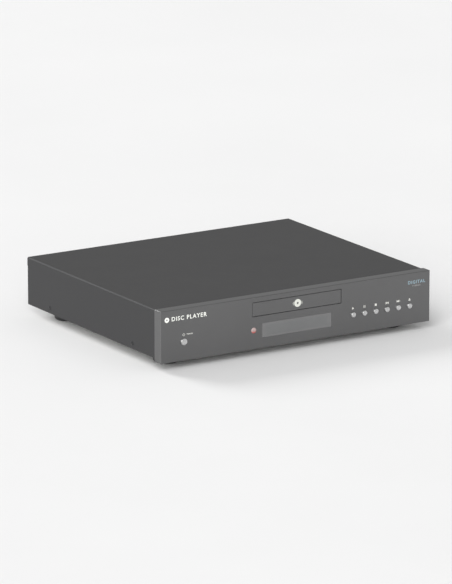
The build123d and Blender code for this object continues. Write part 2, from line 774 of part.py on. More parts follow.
with BuildPart() as clamp_cap:
    post(0, disc_y, bridge_top + running_gap, bridge_top + running_gap + 1.6, clamp_neck + 4.0)
    fillet(clamp_cap.edges().group_by(Axis.Z)[-1], 0.6)
save(clamp_cap, "clamp_cap")

# ================================================================ lifting frame and slider
ring_width = 6.0
ring_low = loader_low + 1.0
ring_high = ring_low + 3.0
damper_xs = (ring_left + ring_width / 2, ring_right - ring_width / 2)
damper_ys = (ring_front + ring_width / 2, ring_back - ring_width / 2)
damper_places = [(damper_x, damper_y) for damper_y in damper_ys for damper_x in damper_xs]
with BuildPart() as lift_frame:
    block((ring_left, ring_front, ring_low), (ring_right, ring_back, ring_high))
    fillet(lift_frame.edges().filter_by(Axis.Z), 1.5)
    block(
        (ring_left + ring_width, ring_front + ring_width, ring_low),
        (ring_right - ring_width, ring_back - ring_width, ring_high),
        Mode.SUBTRACT,
    )
    for damper in damper_places:
        post(damper[0], damper[1], ring_low, ring_high, self_tap_hole, Mode.SUBTRACT)
    bar(pivot_y, pivot_z, well_left - 4.0, ring_left + 1, pin_radius - 0.5)
    bar(pivot_y, pivot_z, well_left - 4.0, ring_left, pin_radius)
    bar(pivot_y, pivot_z, ring_right - 1, well_right + 3.2, pin_radius - 0.5)
    bar(pivot_y, pivot_z, ring_right, well_right + 3.2, pin_radius)
    block((lift_pin_x - 3, ring_front, ring_high), (lift_pin_x + 3, ring_front + 2.5, lift_pin_z + 2.5))
    rod(lift_pin_x, lift_pin_z, slider_front + 0.3, ring_front, lift_pin_radius)
save(lift_frame, "lift_frame")

lift_drop = (pivot_y - slider_back) * math.sin(math.radians(lift_angle))
slot_angle = math.degrees(math.atan2(lift_drop, lift_stroke))
slot_run = math.hypot(lift_stroke, lift_drop)
slider_low = loader_top + running_gap
with BuildPart() as lift_slider:
    block((slider_left, slider_front, slider_low), (slider_right, slider_back, lift_pin_z + 3.5))
    with BuildSketch(upright(slider_front)) as ramp:
        slot_middle = (lift_pin_x - lift_stroke / 2, lift_pin_z - lift_drop / 2, 0)
        with Locations(Location(slot_middle, (0, 0, slot_angle))):
            SlotCenterToCenter(slot_run, 2 * lift_pin_radius + 0.8)
    extrude(amount=-(slider_back - slider_front), mode=Mode.SUBTRACT)
save(lift_slider, "lift_slider")

# ================================================================ pickup base
damper_height = 3.0
base_plate_low = ring_high + damper_height
base_plate = 2.0
deck_z = base_plate_low + base_plate
rod_radius = 1.5
rod_x = 21.0
rod_z = deck_z + 3.0
rod_front = disc_y + 13.0
rod_back = disc_y + 92.0
sled_start = disc_y + 25.0
sled_gear_x = 40.0
sled_gear_y = disc_y + 51.0
sled_pinion_y = sled_gear_y - sled_module * (sled_wheel_teeth + sled_pinion_teeth) / 2
sled_wheel_low = deck_z + 0.4
sled_wheel_high = sled_wheel_low + 2.0
sled_rack_low = deck_z + 4.2
sled_rack_high = sled_rack_low + 2.0
spindle_radius = 12.0
spindle_shaft = 1.0

with BuildPart() as damper_bushes:
    for damper in damper_places:
        post(damper[0], damper[1], ring_high, base_plate_low, 2.9)
        post(damper[0], damper[1], ring_high, base_plate_low, 1.1, Mode.SUBTRACT)
save(damper_bushes, "damper_bushes")

with BuildPart() as damper_screws:
    for damper in damper_places:
        post(damper[0], damper[1], deck_z, deck_z + 1.6, 2.6)
        post(damper[0], damper[1], ring_low, deck_z, self_tap_shank)
save(damper_screws, "damper_screws")

with BuildPart() as pickup_base:
    block((ring_left, ring_front, base_plate_low), (ring_right, ring_back, deck_z))
    fillet(pickup_base.edges().filter_by(Axis.Z), 2.0)
    for rod_side in (-rod_x, rod_x):
        for block_y in (rod_front, rod_back - 4.0):
            block((rod_side - 3.5, block_y, deck_z), (rod_side + 3.5, block_y + 4.0, rod_z + 2.6))
        rod(rod_side, rod_z, rod_front, rod_back, rod_radius, Mode.SUBTRACT)
    block((-15, disc_y + 20, base_plate_low), (15, disc_y + 84, deck_z), Mode.SUBTRACT)
    post(0, disc_y, base_plate_low, deck_z, 4.0, Mode.SUBTRACT)
    for damper in damper_places:
        post(damper[0], damper[1], base_plate_low, deck_z, 1.1, Mode.SUBTRACT)
    block(
        (lift_pin_x - 3.5, ring_front, base_plate_low),
        (lift_pin_x + 3.5, ring_front + 3.0, deck_z),
        Mode.SUBTRACT,
    )
    post(sled_gear_x, sled_pinion_y, base_plate_low, deck_z, 2.6, Mode.SUBTRACT)
    post(sled_gear_x, sled_gear_y, deck_z, sled_rack_high, 1.5)
save(pickup_base, "pickup_base")

with BuildPart() as guide_rods:
    for rod_side in (-rod_x, rod_x):
        rod(rod_side, rod_z, rod_front, rod_back, rod_radius)
save(guide_rods, "guide_rods")

with BuildPart() as spindle_motor:
    post(0, disc_y, base_plate_low - 8.5, base_plate_low, spindle_radius)
    fillet(spindle_motor.edges().group_by(Axis.Z)[0], 1.0)
    post(0, disc_y, base_plate_low, deck_z, 3.8)
    post(0, disc_y, base_plate_low - 4.0, deck_z, spindle_shaft + pin_clearance, Mode.SUBTRACT)
save(spindle_motor, "spindle_motor")

turntable_seat = tray_seat + 1.0
with BuildPart() as turntable:
    post(0, disc_y, base_plate_low - 3.5, turntable_seat, spindle_shaft)
    post(0, disc_y, deck_z + 1.0, turntable_seat - 3.0, 6.0)
    post(0, disc_y, turntable_seat - 3.0, turntable_seat, turntable_radius)
    with Locations((0, disc_y, turntable_seat)):
        Cone(7.4, 5.4, cone_top - turntable_seat, align=FROM_BASE)
    with Locations((0, disc_y, turntable_seat)):
        with PolarLocations(11.5, 12):
            Cylinder(0.7, 0.8, align=(Align.CENTER, Align.CENTER, Align.MAX), mode=Mode.SUBTRACT)
save(turntable, "turntable")

sled_front = sled_start - 8.0
sled_back = sled_start + 24.0
sled_half = 25.0
sled_low = deck_z + 0.6
sled_high = deck_z + 6.0
rack_x = sled_gear_x - sled_module * sled_gear_teeth / 2
sled_rack_front = sled_start - 12.0
sled_rack_back = sled_start + sled_travel - 4.0
sled_pitch = math.pi * sled_module
with BuildPart() as pickup_sled:
    block((-sled_half, sled_front, sled_low), (sled_half, sled_back, sled_high))
    fillet(pickup_sled.edges().filter_by(Axis.Z), 1.5)
    block((-9, sled_start - 7, sled_high), (9, sled_start + 9, sled_high + 2))
    block(
        (sled_half - 0.2, sled_rack_front, sled_rack_low),
        (rack_x - sled_module, sled_rack_back, sled_rack_high - 0.2),
    )
    with BuildSketch(Plane(origin=(rack_x, 0, sled_rack_low))) as sled_rack:
        for tooth in range(-13, 2):
            with Locations((0, sled_gear_y + sled_pitch * (tooth + 0.5))):
                Polygon(*rack_tooth(sled_module), align=None)
    extrude(amount=sled_rack_high - 0.2 - sled_rack_low)
    for rod_side in (-rod_x, rod_x):
        rod(rod_side, rod_z, sled_front - 1, sled_back + 1, rod_radius + pin_clearance, Mode.SUBTRACT)
save(pickup_sled, "pickup_sled")

with BuildPart() as pickup_lens:
    post(0, sled_start, sled_high + 2, sled_high + 2.8, 3.2)
    fillet(pickup_lens.edges().group_by(Axis.Z)[-1], 0.6)
save(pickup_lens, "pickup_lens")

with BuildPart() as sled_motor:
    post(sled_gear_x, sled_pinion_y, base_plate_low - 11.0, base_plate_low, 8.0)
    fillet(sled_motor.edges().group_by(Axis.Z)[0], 0.8)
    post(sled_gear_x, sled_pinion_y, base_plate_low, sled_wheel_low - 0.3, 2.4)
    post(sled_gear_x, sled_pinion_y, sled_wheel_low - 0.3, sled_wheel_high + 0.6, spindle_shaft)
save(sled_motor, "sled_motor")

with BuildPart() as sled_pinion:
    extrude(
        toothed_wheel(sled_gear_x, sled_pinion_y, sled_wheel_low, sled_pinion_teeth, sled_module,
                      90 + 180 / sled_pinion_teeth),
        amount=sled_wheel_high - sled_wheel_low,
    )
    pinion_bore = spindle_shaft + pin_clearance
    post(sled_gear_x, sled_pinion_y, sled_wheel_low, sled_wheel_high, pinion_bore, Mode.SUBTRACT)
save(sled_pinion, "sled_pinion")

with BuildPart() as sled_gear:
    extrude(
        toothed_wheel(sled_gear_x, sled_gear_y, sled_wheel_low, sled_wheel_teeth, sled_module, -90),
        amount=sled_wheel_high - sled_wheel_low,
    )
    post(sled_gear_x, sled_gear_y, sled_wheel_high, sled_rack_low, 4.0)
    extrude(
        toothed_wheel(sled_gear_x, sled_gear_y, sled_rack_low, sled_gear_teeth, sled_module, 180),
        amount=sled_rack_high - sled_rack_low,
    )
    post(sled_gear_x, sled_gear_y, sled_wheel_low, sled_rack_high, 1.5 + pin_clearance, Mode.SUBTRACT)
save(sled_gear, "sled_gear")

# ================================================================ circuit boards
main_board_holes = board_holes[:4]
power_board_holes = board_holes[4:]
with BuildPart() as main_board:
    block((main_board_left, main_board_front, board_low), (main_board_right, main_board_back, board_top))
    for hole in main_board_holes:
        post(hole[0], hole[1], board_low, board_top, screw_hole, Mode.SUBTRACT)
save(main_board, "main_board")

with BuildPart() as power_board:
    block((power_board_left, power_board_front, board_low), (power_board_right, main_board_back, board_top))
    for hole in power_board_holes:
        post(hole[0], hole[1], board_low, board_top, screw_hole, Mode.SUBTRACT)
save(power_board, "power_board")

with BuildPart() as board_screws:
    for hole in board_holes:
        post(hole[0], hole[1], board_top, board_top + screw_head_height, screw_head)
        post(hole[0], hole[1], floor_z + 1.5, board_top, screw_shank - 0.05)
    for boss_x in boss_xs:
        rod(boss_x, boss_z, board_back, board_back + 1.6, screw_head - 0.2)
        rod(boss_x, boss_z, board_front - 5.0, board_back, screw_shank - 0.05)
save(board_screws, "board_screws")

# Each chip: how far in from the panel's right end, how far in front of the rear, width, depth, height.
chips = [
    (90, 110, 20, 20, 3),
    (50, 118, 14, 20, 3),
    (95, 72, 28, 11, 4),
    (55, 78, 12, 16, 3),
    (31, 60, 10, 14, 4),
    (65, 150, 16, 10, 3),
]
with BuildPart() as board_chips:
    for inset, ahead, width, depth, height in chips:
        with Locations((panel_half - inset, rear_y - ahead, board_top)):
            Box(width, depth, height, align=FROM_BASE)
    chamfer(board_chips.edges().group_by(Axis.Z)[-1], 0.4)
save(board_chips, "board_chips")

coil_x = 67.0 - panel_half
coil_y = rear_y - 150.0
core_width = 66.0
core_depth = 24.0
core_height = 48.0
coil_width = 40.0
core_leg = 11.0
core_yoke = 10.0
coil_depth = 44.0
with BuildPart() as transformer_core:
    with Locations((coil_x, coil_y, floor_z)):
        Box(core_width, core_depth, core_height, align=FROM_BASE)
        Box(core_width + 18, core_depth, 2.0, align=FROM_BASE)
    for side in (-1, 1):
        window_near = coil_x + side * coil_width / 4
        window_far = coil_x + side * (core_width / 2 - core_leg)
        block(
            (min(window_near, window_far), coil_y - core_depth, floor_z + core_yoke),
            (max(window_near, window_far), coil_y + core_depth, floor_z + core_height - core_yoke),
            Mode.SUBTRACT,
        )
save(transformer_core, "transformer_core")

with BuildPart() as transformer_coil:
    coil_low = floor_z + core_yoke
    coil_high = floor_z + core_height - core_yoke
    block(
        (coil_x - core_width / 2 + core_leg, coil_y - coil_depth / 2, coil_low),
        (coil_x + core_width / 2 - core_leg, coil_y + coil_depth / 2, coil_high),
    )
    fillet(transformer_coil.edges().filter_by(Axis.Z), 4.0)
    block(
        (coil_x - coil_width / 4, coil_y - core_depth / 2, coil_low),
        (coil_x + coil_width / 4, coil_y + core_depth / 2, coil_high),
        Mode.SUBTRACT,
    )
    for side in (-1, 1):
        leg_near = coil_x + side * (core_width / 2 - core_leg)
        leg_far = coil_x + side * core_width / 2
        block(
            (min(leg_near, leg_far), coil_y - core_depth / 2, coil_low),
            (max(leg_near, leg_far), coil_y + core_depth / 2, coil_high),
            Mode.SUBTRACT,
        )
save(transformer_coil, "transformer_coil")

# Each capacitor: its place across the player, how far in front of the rear, radius, height.
cans = [
    (95 - panel_half, 60, 9, 30),
    (95 - panel_half, 38, 9, 30),
    (31 - panel_half, 70, 6, 18),
    (panel_half - 105, 40, 5, 12),
    (panel_half - 75, 48, 4, 11),
    (panel_half - 19, 90, 4, 11),
    (panel_half - 115, 150, 6, 16),
]
with BuildPart() as capacitors:
    for can_x, ahead, radius, height in cans:
        post(can_x, rear_y - ahead, board_top, board_top + height, radius)
    fillet(capacitors.edges().group_by(Axis.Z)[-1], 0.8)
save(capacitors, "capacitors")

sink_x = 63.0 - panel_half
sink_y = rear_y - 72.0
sink_half = 17.0
sink_top = board_top + 30.0
fin_count = 6
fin_sheet = 1.6
fin_depth = 12.0
with BuildPart() as heatsink:
    block((sink_x - sink_half, sink_y, board_top), (sink_x + sink_half, sink_y + 3.0, sink_top))
    for fin in range(fin_count):
        fin_x = sink_x - sink_half + fin * (2 * sink_half - fin_sheet) / (fin_count - 1)
        block((fin_x, sink_y - fin_depth, board_top + 2.0), (fin_x + fin_sheet, sink_y, sink_top))
save(heatsink, "heatsink")

ribbon_sheet = 0.6
with BuildPart() as front_ribbon:
    with BuildSketch(Plane.YZ.offset(ribbon_x - ribbon_half)) as ribbon_side:
        with BuildLine() as ribbon_path:
            FilletPolyline(
                (board_back, front_board_low + 14.0),
                (board_back + 14.0, front_board_low + 14.0),
                (main_board_front + 20.0, floor_z + 20.0),
                (main_board_front + 20.0, board_top),
                radius=5.0,
            )
        trace(line_width=ribbon_sheet)
    extrude(amount=2 * ribbon_half)
save(front_ribbon, "front_ribbon")

# ================================================================ rear connectors
housing_front = rear_inner - 12.0
sleeve_root = rear_inner - 6.0
jack_wall = 0.6
with BuildPart() as jack_housings:
    for jack_x in jack_xs:
        block(
            (jack_x - jack_block_half, housing_front, jack_block_low),
            (jack_x + jack_block_half, rear_inner, jack_block_high),
        )
        rod(jack_x, jack_z, rear_inner, rear_y, ring_radius)
        rod(jack_x, jack_z, sleeve_root, rear_y, jack_root, Mode.SUBTRACT)
        rod(jack_x, jack_z, sleeve_root, rear_y + jack_length - 0.5, jack_root - jack_wall)
        rod(jack_x, jack_z, rear_y - 1.0, rear_y + jack_length, jack_bore, Mode.SUBTRACT)
save(jack_housings, "jack_housings")

with BuildPart() as jack_rings:
    for jack_x in jack_xs:
        rod(jack_x, jack_z, rear_y, rear_y + jack_ring, ring_radius)
        rod(jack_x, jack_z, rear_y, rear_y + jack_ring, jack_root, Mode.SUBTRACT)
save(jack_rings, "jack_rings")

with BuildPart() as jack_sleeves:
    for jack_x in jack_xs:
        rod(jack_x, jack_z, sleeve_root, rear_y + jack_ring, jack_root)
        rod(jack_x, jack_z, rear_y + jack_ring, rear_y + jack_length, jack_radius)
        rod(jack_x, jack_z, sleeve_root, rear_y + jack_length, jack_root - jack_wall, Mode.SUBTRACT)
save(jack_sleeves, "jack_sleeves")

optical_recess = 4.2
optical_depth = 9.0
with BuildPart() as optical_socket:
    block(
        (optical_x - optical_half + 0.1, rear_inner - 10.0, board_top),
        (optical_x + optical_half - 0.1, rear_inner, jack_z + optical_half - 0.1),
    )
    block(
        (optical_x - optical_half + 0.1, rear_inner, jack_z - optical_half + 0.1),
        (optical_x + optical_half - 0.1, rear_y + 1.5, jack_z + optical_half - 0.1),
    )
    block(
        (optical_x - optical_recess, rear_y + 1.5 - optical_depth, jack_z - optical_recess),
        (optical_x + optical_recess, rear_y + 1.5, jack_z + optical_recess),
        Mode.SUBTRACT,
    )
save(optical_socket, "optical_socket")

inlet_depth = 12.0
inlet_face = rear_y + 1.8
with BuildPart() as mains_inlet:
    block(
        (inlet_x - inlet_half + 0.1, rear_inner - 14.0, jack_z - inlet_half_height + 0.1),
        (inlet_x + inlet_half - 0.1, rear_y, jack_z + inlet_half_height - 0.1),
    )
    block(
        (inlet_x - inlet_half + 0.1, rear_inner - 14.0, board_top),
        (inlet_x + inlet_half - 0.1, rear_inner - 6.0, jack_z),
    )
    with BuildSketch(upright(rear_y)) as inlet_rim:
        with Locations((inlet_x, jack_z)):
            RectangleRounded(2 * (inlet_half + inlet_flange), 2 * (inlet_half_height + 2.0), 3.0)
    extrude(amount=-(inlet_face - rear_y))
    with BuildSketch(upright(inlet_face)) as inlet_socket:
        with Locations((inlet_x, jack_z)):
            SlotOverall(2 * socket_half, 2 * socket_radius)
    extrude(amount=inlet_depth, mode=Mode.SUBTRACT)
save(mains_inlet, "mains_inlet")

inlet_pin = 1.2
inlet_pin_x = 4.3
with BuildPart() as inlet_pins:
    for side in (-1, 1):
        rod(inlet_x + side * inlet_pin_x, jack_z, inlet_face - inlet_depth, inlet_face - 2.0, inlet_pin)
    fillet(inlet_pins.edges().group_by(Axis.Y)[-1], 0.5)
save(inlet_pins, "inlet_pins")
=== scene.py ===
"""Looks for a hi-fi disc player: finishes on its fixed parts, and finer pieces in their places."""

import math

import bmesh
import bpy
from mathutils import Matrix, Vector


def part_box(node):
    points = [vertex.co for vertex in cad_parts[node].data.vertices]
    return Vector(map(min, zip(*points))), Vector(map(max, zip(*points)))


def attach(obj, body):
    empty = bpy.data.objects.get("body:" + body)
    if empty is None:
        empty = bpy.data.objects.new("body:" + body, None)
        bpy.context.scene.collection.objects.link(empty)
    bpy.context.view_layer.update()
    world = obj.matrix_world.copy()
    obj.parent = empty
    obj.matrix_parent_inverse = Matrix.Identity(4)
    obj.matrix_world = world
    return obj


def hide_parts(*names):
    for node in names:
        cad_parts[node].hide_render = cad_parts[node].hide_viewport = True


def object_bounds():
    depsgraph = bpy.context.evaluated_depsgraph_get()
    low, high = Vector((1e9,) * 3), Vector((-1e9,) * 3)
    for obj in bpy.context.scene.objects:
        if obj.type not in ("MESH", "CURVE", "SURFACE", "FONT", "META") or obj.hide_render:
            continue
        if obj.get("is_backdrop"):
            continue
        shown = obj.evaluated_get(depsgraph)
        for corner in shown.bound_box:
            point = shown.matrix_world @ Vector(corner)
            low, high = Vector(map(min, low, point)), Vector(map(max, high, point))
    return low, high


bl_info = {
    "name": "Disc Player Finish",
    "version": (1, 0, 0),
    "blender": (4, 5, 0),
    "location": "View3D > Sidebar > Disc Player",
    "description": "Turned buttons, printed marks, screws, connectors and finishes for a hi-fi disc player",
    "category": "Object",
}

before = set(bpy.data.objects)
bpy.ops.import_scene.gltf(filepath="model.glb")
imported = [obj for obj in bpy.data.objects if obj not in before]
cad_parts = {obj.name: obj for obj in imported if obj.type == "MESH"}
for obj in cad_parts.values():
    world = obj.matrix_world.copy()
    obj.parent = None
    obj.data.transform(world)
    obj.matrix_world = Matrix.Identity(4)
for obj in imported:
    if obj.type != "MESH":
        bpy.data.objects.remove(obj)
MM = 0.001
FULL_TURN = 2 * math.pi
BUTTONS = ("play", "pause", "stop", "back", "forward", "eject")


# --- settings
def length_setting(label, description, default):
    """A setting that holds a length."""
    return bpy.props.FloatProperty(name=label, description=description, default=default, min=0.0,
                                   unit="LENGTH", subtype="DISTANCE")


def angle_setting(label, description, degrees):
    """A setting that holds an angle."""
    return bpy.props.FloatProperty(name=label, description=description, default=math.radians(degrees),
                                   unit="ROTATION", subtype="ANGLE")


def colour_setting(label, description, default):
    """A setting that holds a linear colour."""
    return bpy.props.FloatVectorProperty(name=label, description=description, default=default, size=3,
                                         subtype="COLOR")


class DiscPlayerSizes(bpy.types.PropertyGroup):
    """Sizes of the small pieces that are made here."""

    flange_overhang: length_setting("Flange overhang", "How far a button's flange stands out from its cap",
                                    1.1 * MM)
    cap_chamfer: length_setting("Cap chamfer", "Width of the polished edge round a button's face", 0.45 * MM)
    cap_dish: length_setting("Cap dish", "Depth of the hollow in a button's face", 0.35 * MM)
    print_thickness: length_setting("Print thickness", "How far a printed mark stands off its panel",
                                    0.05 * MM)
    legend_size: length_setting("Legend size", "Height of a symbol above its button", 3.4 * MM)
    legend_rise: length_setting("Legend rise", "Height of a symbol's middle above its button's middle",
                                8.9 * MM)
    title_rise: length_setting("Title rise", "Height of the title's middle above the panel's lower edge",
                               59.2 * MM)
    title_height: length_setting("Title height", "Height of the letters at the panel's upper left", 5.9 * MM)
    lathe_steps: bpy.props.IntProperty(
        name="Turning steps", description="Flat sides round a turned piece", default=64, min=12)


class DiscPlayerColours(bpy.types.PropertyGroup):
    """Base colours of the finishes, as linear values."""

    panel: colour_setting("Panel", "Anodised front panel", (0.152, 0.152, 0.153))
    # the cover colour is its own dark paint made darker still, as painted shade over the whole cover
    cover: colour_setting("Cover", "Painted folded cover", (0.037, 0.037, 0.038))
    button: colour_setting("Buttons", "Turned button caps", (0.56, 0.56, 0.56))
    window: colour_setting("Window", "Smoked display window", (0.122, 0.122, 0.123))
    # the lens colour is a pale pink that is a painted highlight; the lens's own deep red is set in
    # lens_finish
    lens: colour_setting("Sensor lens", "Red sensor lens", (0.36, 0.27, 0.26))
    marks: colour_setting("Printed marks", "Pale printing ink", (0.62, 0.62, 0.58))
    badge: colour_setting("Badge", "Pale blue printing ink", (0.25, 0.35, 0.40))


class DiscPlayerStage(bpy.types.PropertyGroup):
    """Where the camera stands and how bright the room is."""

    azimuth: angle_setting("Azimuth", "Camera's turn round the player", -31.8)
    elevation: angle_setting("Elevation", "Camera's height as an angle", 14.45)
    distance: length_setting("Distance", "From the player's middle to the camera", 7.64)
    width_share: bpy.props.FloatProperty(
        name="Width share", description="Share of the picture's width that the player fills",
        default=0.90, min=0.1, max=1.0, subtype="FACTOR")
    room_light: bpy.props.FloatProperty(
        name="Room light", description="Brightness of the pale surroundings", default=0.50, min=0.0)
    key_strength: bpy.props.FloatProperty(
        name="Key light", description="Strength of the soft light from the front left", default=3.3, min=0.0)
    rim_strength: bpy.props.FloatProperty(
        name="Rim light", description="Strength of the soft light from behind on the left", default=1.5,
        min=0.0)


def sizes():
    """The sizes as they are set."""
    return bpy.context.scene.disc_player_sizes


def set_colour(name):
    """One of the base colours as it is set."""
    return tuple(getattr(bpy.context.scene.disc_player_colours, name))


# --- shader nodes
FLOAT = "NodeSocketFloat"
VECTOR = "NodeSocketVector"
COLOUR = "NodeSocketColor"


def feed(tree, socket, source):
    """Gives an input its value: through a link from another socket, or a plain one of its own."""
    if isinstance(source, bpy.types.NodeSocket):
        tree.links.new(source, socket)
    else:
        socket.default_value = source


def add_node(tree, kind, inputs=None, **settings):
    """A new shader node with its settings, such as an operation, and what feeds each of its inputs."""
    node = tree.nodes.new("ShaderNode" + kind)
    for setting, value in settings.items():
        setattr(node, setting, value)
    for label, source in (inputs or {}).items():
        feed(tree, node.inputs[label], source)
    return node


def object_place(tree):
    """Each point's place in its piece's own coordinates."""
    return add_node(tree, "TexCoord").outputs["Object"]


def noise_at(tree, place, scale, detail, roughness=0.5):
    """Noise at each point, from 0 to 1."""
    values = {"Vector": place, "Scale": scale, "Detail": detail, "Roughness": roughness}
    return add_node(tree, "TexNoise", values).outputs["Fac"]


def split(tree, vector):
    """A vector's three parts, by the names X, Y and Z."""
    return add_node(tree, "SeparateXYZ", {"Vector": vector}).outputs


def ranged(tree, value, low, high, **settings):
    """A value carried from low and high to 0 and 1."""
    inputs = {"Value": value, "From Min": low, "From Max": high}
    return add_node(tree, "MapRange", inputs, **settings).outputs["Result"]


def product(tree, first, second):
    """Two values multiplied."""
    return add_node(tree, "Math", {0: first, 1: second}, operation="MULTIPLY").outputs["Value"]


def mixed(tree, factor, first, second):
    """The colour between two others: the first where the factor is 0, the second where it is 1."""
    inputs = {"Factor": factor, "A": first, "B": second}
    return add_node(tree, "Mix", inputs, data_type="RGBA").outputs["Result"]


def group_with(name, inputs, outputs):
    """A new node group, what it is given and what it results in: inputs are (name, type, default)."""
    group = bpy.data.node_groups.new(name, "ShaderNodeTree")
    for label, kind, default in inputs:
        group.interface.new_socket(name=label, in_out="INPUT", socket_type=kind).default_value = default
    for label, kind in outputs:
        group.interface.new_socket(name=label, in_out="OUTPUT", socket_type=kind)
    return group, group.nodes.new("NodeGroupInput").outputs, group.nodes.new("NodeGroupOutput").inputs


def bump_group(name, scale, strength, depth, detail, roughness, stretch=None):
    """A group that turns noise into a bump normal, drawn out along one direction where it has a stretch."""
    inputs = [("Scale", FLOAT, scale), ("Strength", FLOAT, strength), ("Depth", FLOAT, depth)]
    if stretch:
        inputs.append(("Stretch", VECTOR, stretch))
    group, given, result = group_with(name, inputs, [("Normal", VECTOR)])
    place = object_place(group)
    if stretch:
        drawn = add_node(group, "VectorMath", {0: place, 1: given["Stretch"]}, operation="MULTIPLY")
        place = drawn.outputs[0]
    noise = noise_at(group, place, given["Scale"], detail, roughness)
    bump = add_node(group, "Bump", {"Height": noise, "Strength": given["Strength"],
                                    "Distance": given["Depth"]})
    feed(group, result["Normal"], bump.outputs["Normal"])


def hairline_group():
    """Fine straight grain: noise drawn out along one direction."""
    bump_group("Hairline Grain", 1.0, 0.1, 0.00002, 3.0, 0.6, (30.0, 3000.0, 3000.0))


def speckle_group():
    """Small even grains, as on powder paint or spark-textured moulding."""
    bump_group("Fine Speckle", 1800.0, 0.2, 0.00005, 2.0, 0.55)


def handling_group():
    """Broad uneven tone and gloss, as a surface gets from its making and from hands."""
    group, given, result = group_with(
        "Handling",
        [("Tone", COLOUR, (0.2, 0.2, 0.2, 1.0)), ("Worn Tone", COLOUR, (0.25, 0.25, 0.25, 1.0)),
         ("Scale", FLOAT, 18.0), ("Rough Low", FLOAT, 0.35), ("Rough High", FLOAT, 0.45)],
        [("Colour", COLOUR), ("Roughness", FLOAT)])
    noise = noise_at(group, object_place(group), given["Scale"], 5.0, 0.6)
    tone = mixed(group, ranged(group, noise, 0.35, 0.65), given["Tone"], given["Worn Tone"])
    rough = add_node(group, "MapRange", {"Value": noise, "From Min": 0.3, "From Max": 0.7,
                                         "To Min": given["Rough Low"], "To Max": given["Rough High"]})
    feed(group, result["Colour"], tone)
    feed(group, result["Roughness"], rough.outputs["Result"])


def layer_over(group, given, result, layer, where):
    """Ends a group that lays a second colour over the first, by its amount and where a mask says."""
    factor = product(group, where, given["Amount"])
    feed(group, result["Colour"], mixed(group, factor, given["Colour"], given[layer]))


def edge_rub_and_highlight_group():
    """Edges made paler where a rounded normal leaves the true one, broken up by noise: wear along the edges,
    and on the panel and cover also a painted highlight along edges and folds.
    """
    group, given, result = group_with(
        "Edge Rub",
        [("Colour", COLOUR, (0.2, 0.2, 0.2, 1.0)), ("Rubbed", COLOUR, (0.5, 0.5, 0.5, 1.0)),
         ("Amount", FLOAT, 0.5)],
        [("Colour", COLOUR)])
    rounded = add_node(group, "Bevel", {"Radius": 0.5 * MM}, samples=4).outputs["Normal"]
    true = add_node(group, "NewGeometry").outputs["Normal"]
    along = add_node(group, "VectorMath", {0: rounded, 1: true}, operation="DOT_PRODUCT").outputs["Value"]
    noise = noise_at(group, object_place(group), 160.0, 4.0)
    layer_over(group, given, result, "Rubbed", product(group, ranged(group, along, 0.98, 0.80), noise))


def dust_group():
    """A thin, patchy film of pale dust on faces that look up."""
    group, given, result = group_with(
        "Settled Dust",
        [("Colour", COLOUR, (0.1, 0.1, 0.1, 1.0)), ("Dust", COLOUR, (0.32, 0.31, 0.29, 1.0)),
         ("Amount", FLOAT, 0.1)],
        [("Colour", COLOUR)])
    upward = split(group, add_node(group, "NewGeometry").outputs["Normal"])["Z"]
    noise = noise_at(group, object_place(group), 55.0, 8.0, 0.7)
    layer_over(group, given, result, "Dust", product(group, ranged(group, upward, 0.6, 1.0), noise))


GROUP_MAKERS = {
    "Hairline Grain": hairline_group,
    "Fine Speckle": speckle_group,
    "Handling": handling_group,
    "Edge Rub": edge_rub_and_highlight_group,
    "Settled Dust": dust_group,
}


def effect(tree, name, **inputs):
    """Places a shared effect in a material, fed by input names with _ for spaces; gives its outputs."""
    if name not in bpy.data.node_groups:
        GROUP_MAKERS[name]()
    fed = {label.replace("_", " "): source for label, source in inputs.items()}
    return add_node(tree, "Group", fed, node_tree=bpy.data.node_groups[name]).outputs


def rgba(colour):
    """A colour with its alpha."""
    return (*colour, 1.0)


def lighter(colour, gain):
    """A colour made lighter by a gain."""
    return tuple(value * gain for value in colour)


# --- materials
ALONG_X = (25.0, 2600.0, 2600.0)
ALONG_Y = (2600.0, 25.0, 2600.0)
ALONG_Z = (2600.0, 2600.0, 25.0)


def feed_shader(material, inputs):
    """Gives a material's shader what feeds each of its inputs."""
    tree = material.node_tree
    for label, source in inputs.items():
        feed(tree, tree.nodes["Principled BSDF"].inputs[label], source)


def new_material(name, metallic=0.0, coat=0.0, coat_roughness=0.1, ior=1.5, specular=0.5):
    """A new material and its node tree, with the shader's values that are the same all over."""
    material = bpy.data.materials.new(name)
    material.use_nodes = True
    feed_shader(material, {"Metallic": metallic, "IOR": ior, "Coat Weight": coat,
                           "Coat Roughness": coat_roughness, "Specular IOR Level": specular})
    return material, material.node_tree


def finish(name, colour, worn, rough, rub_and_highlight=0.0, rubbed=None, dust=0.0, scale=18.0, grain=None, speckle=None,
           **shader):
    """A whole finish: uneven tone and gloss, then paler edges for wear and painted edge highlight, and dust,
    and a grain or speckle.

    rough is the lowest and highest roughness, grain is (stretch, strength, depth), speckle is
    (scale, strength, depth), and shader holds new_material's values.
    """
    if name in bpy.data.materials:
        return bpy.data.materials[name]
    material, tree = new_material(name, **shader)
    handling = effect(tree, "Handling", Tone=rgba(colour), Worn_Tone=rgba(worn), Scale=scale,
                      Rough_Low=rough[0], Rough_High=rough[1])
    tone = handling["Colour"]
    if rub_and_highlight > 0:
        tone = effect(tree, "Edge Rub", Colour=tone, Rubbed=rgba(rubbed), Amount=rub_and_highlight)["Colour"]
    if dust > 0:
        tone = effect(tree, "Settled Dust", Colour=tone, Amount=dust)["Colour"]
    feed_shader(material, {"Base Color": tone, "Roughness": handling["Roughness"]})
    if grain:
        lines = effect(tree, "Hairline Grain", Stretch=grain[0], Strength=grain[1], Depth=grain[2])
        feed_shader(material, {"Normal": lines["Normal"]})
    if speckle:
        dots = effect(tree, "Fine Speckle", Scale=speckle[0], Strength=speckle[1], Depth=speckle[2])
        feed_shader(material, {"Normal": dots["Normal"]})
    return material


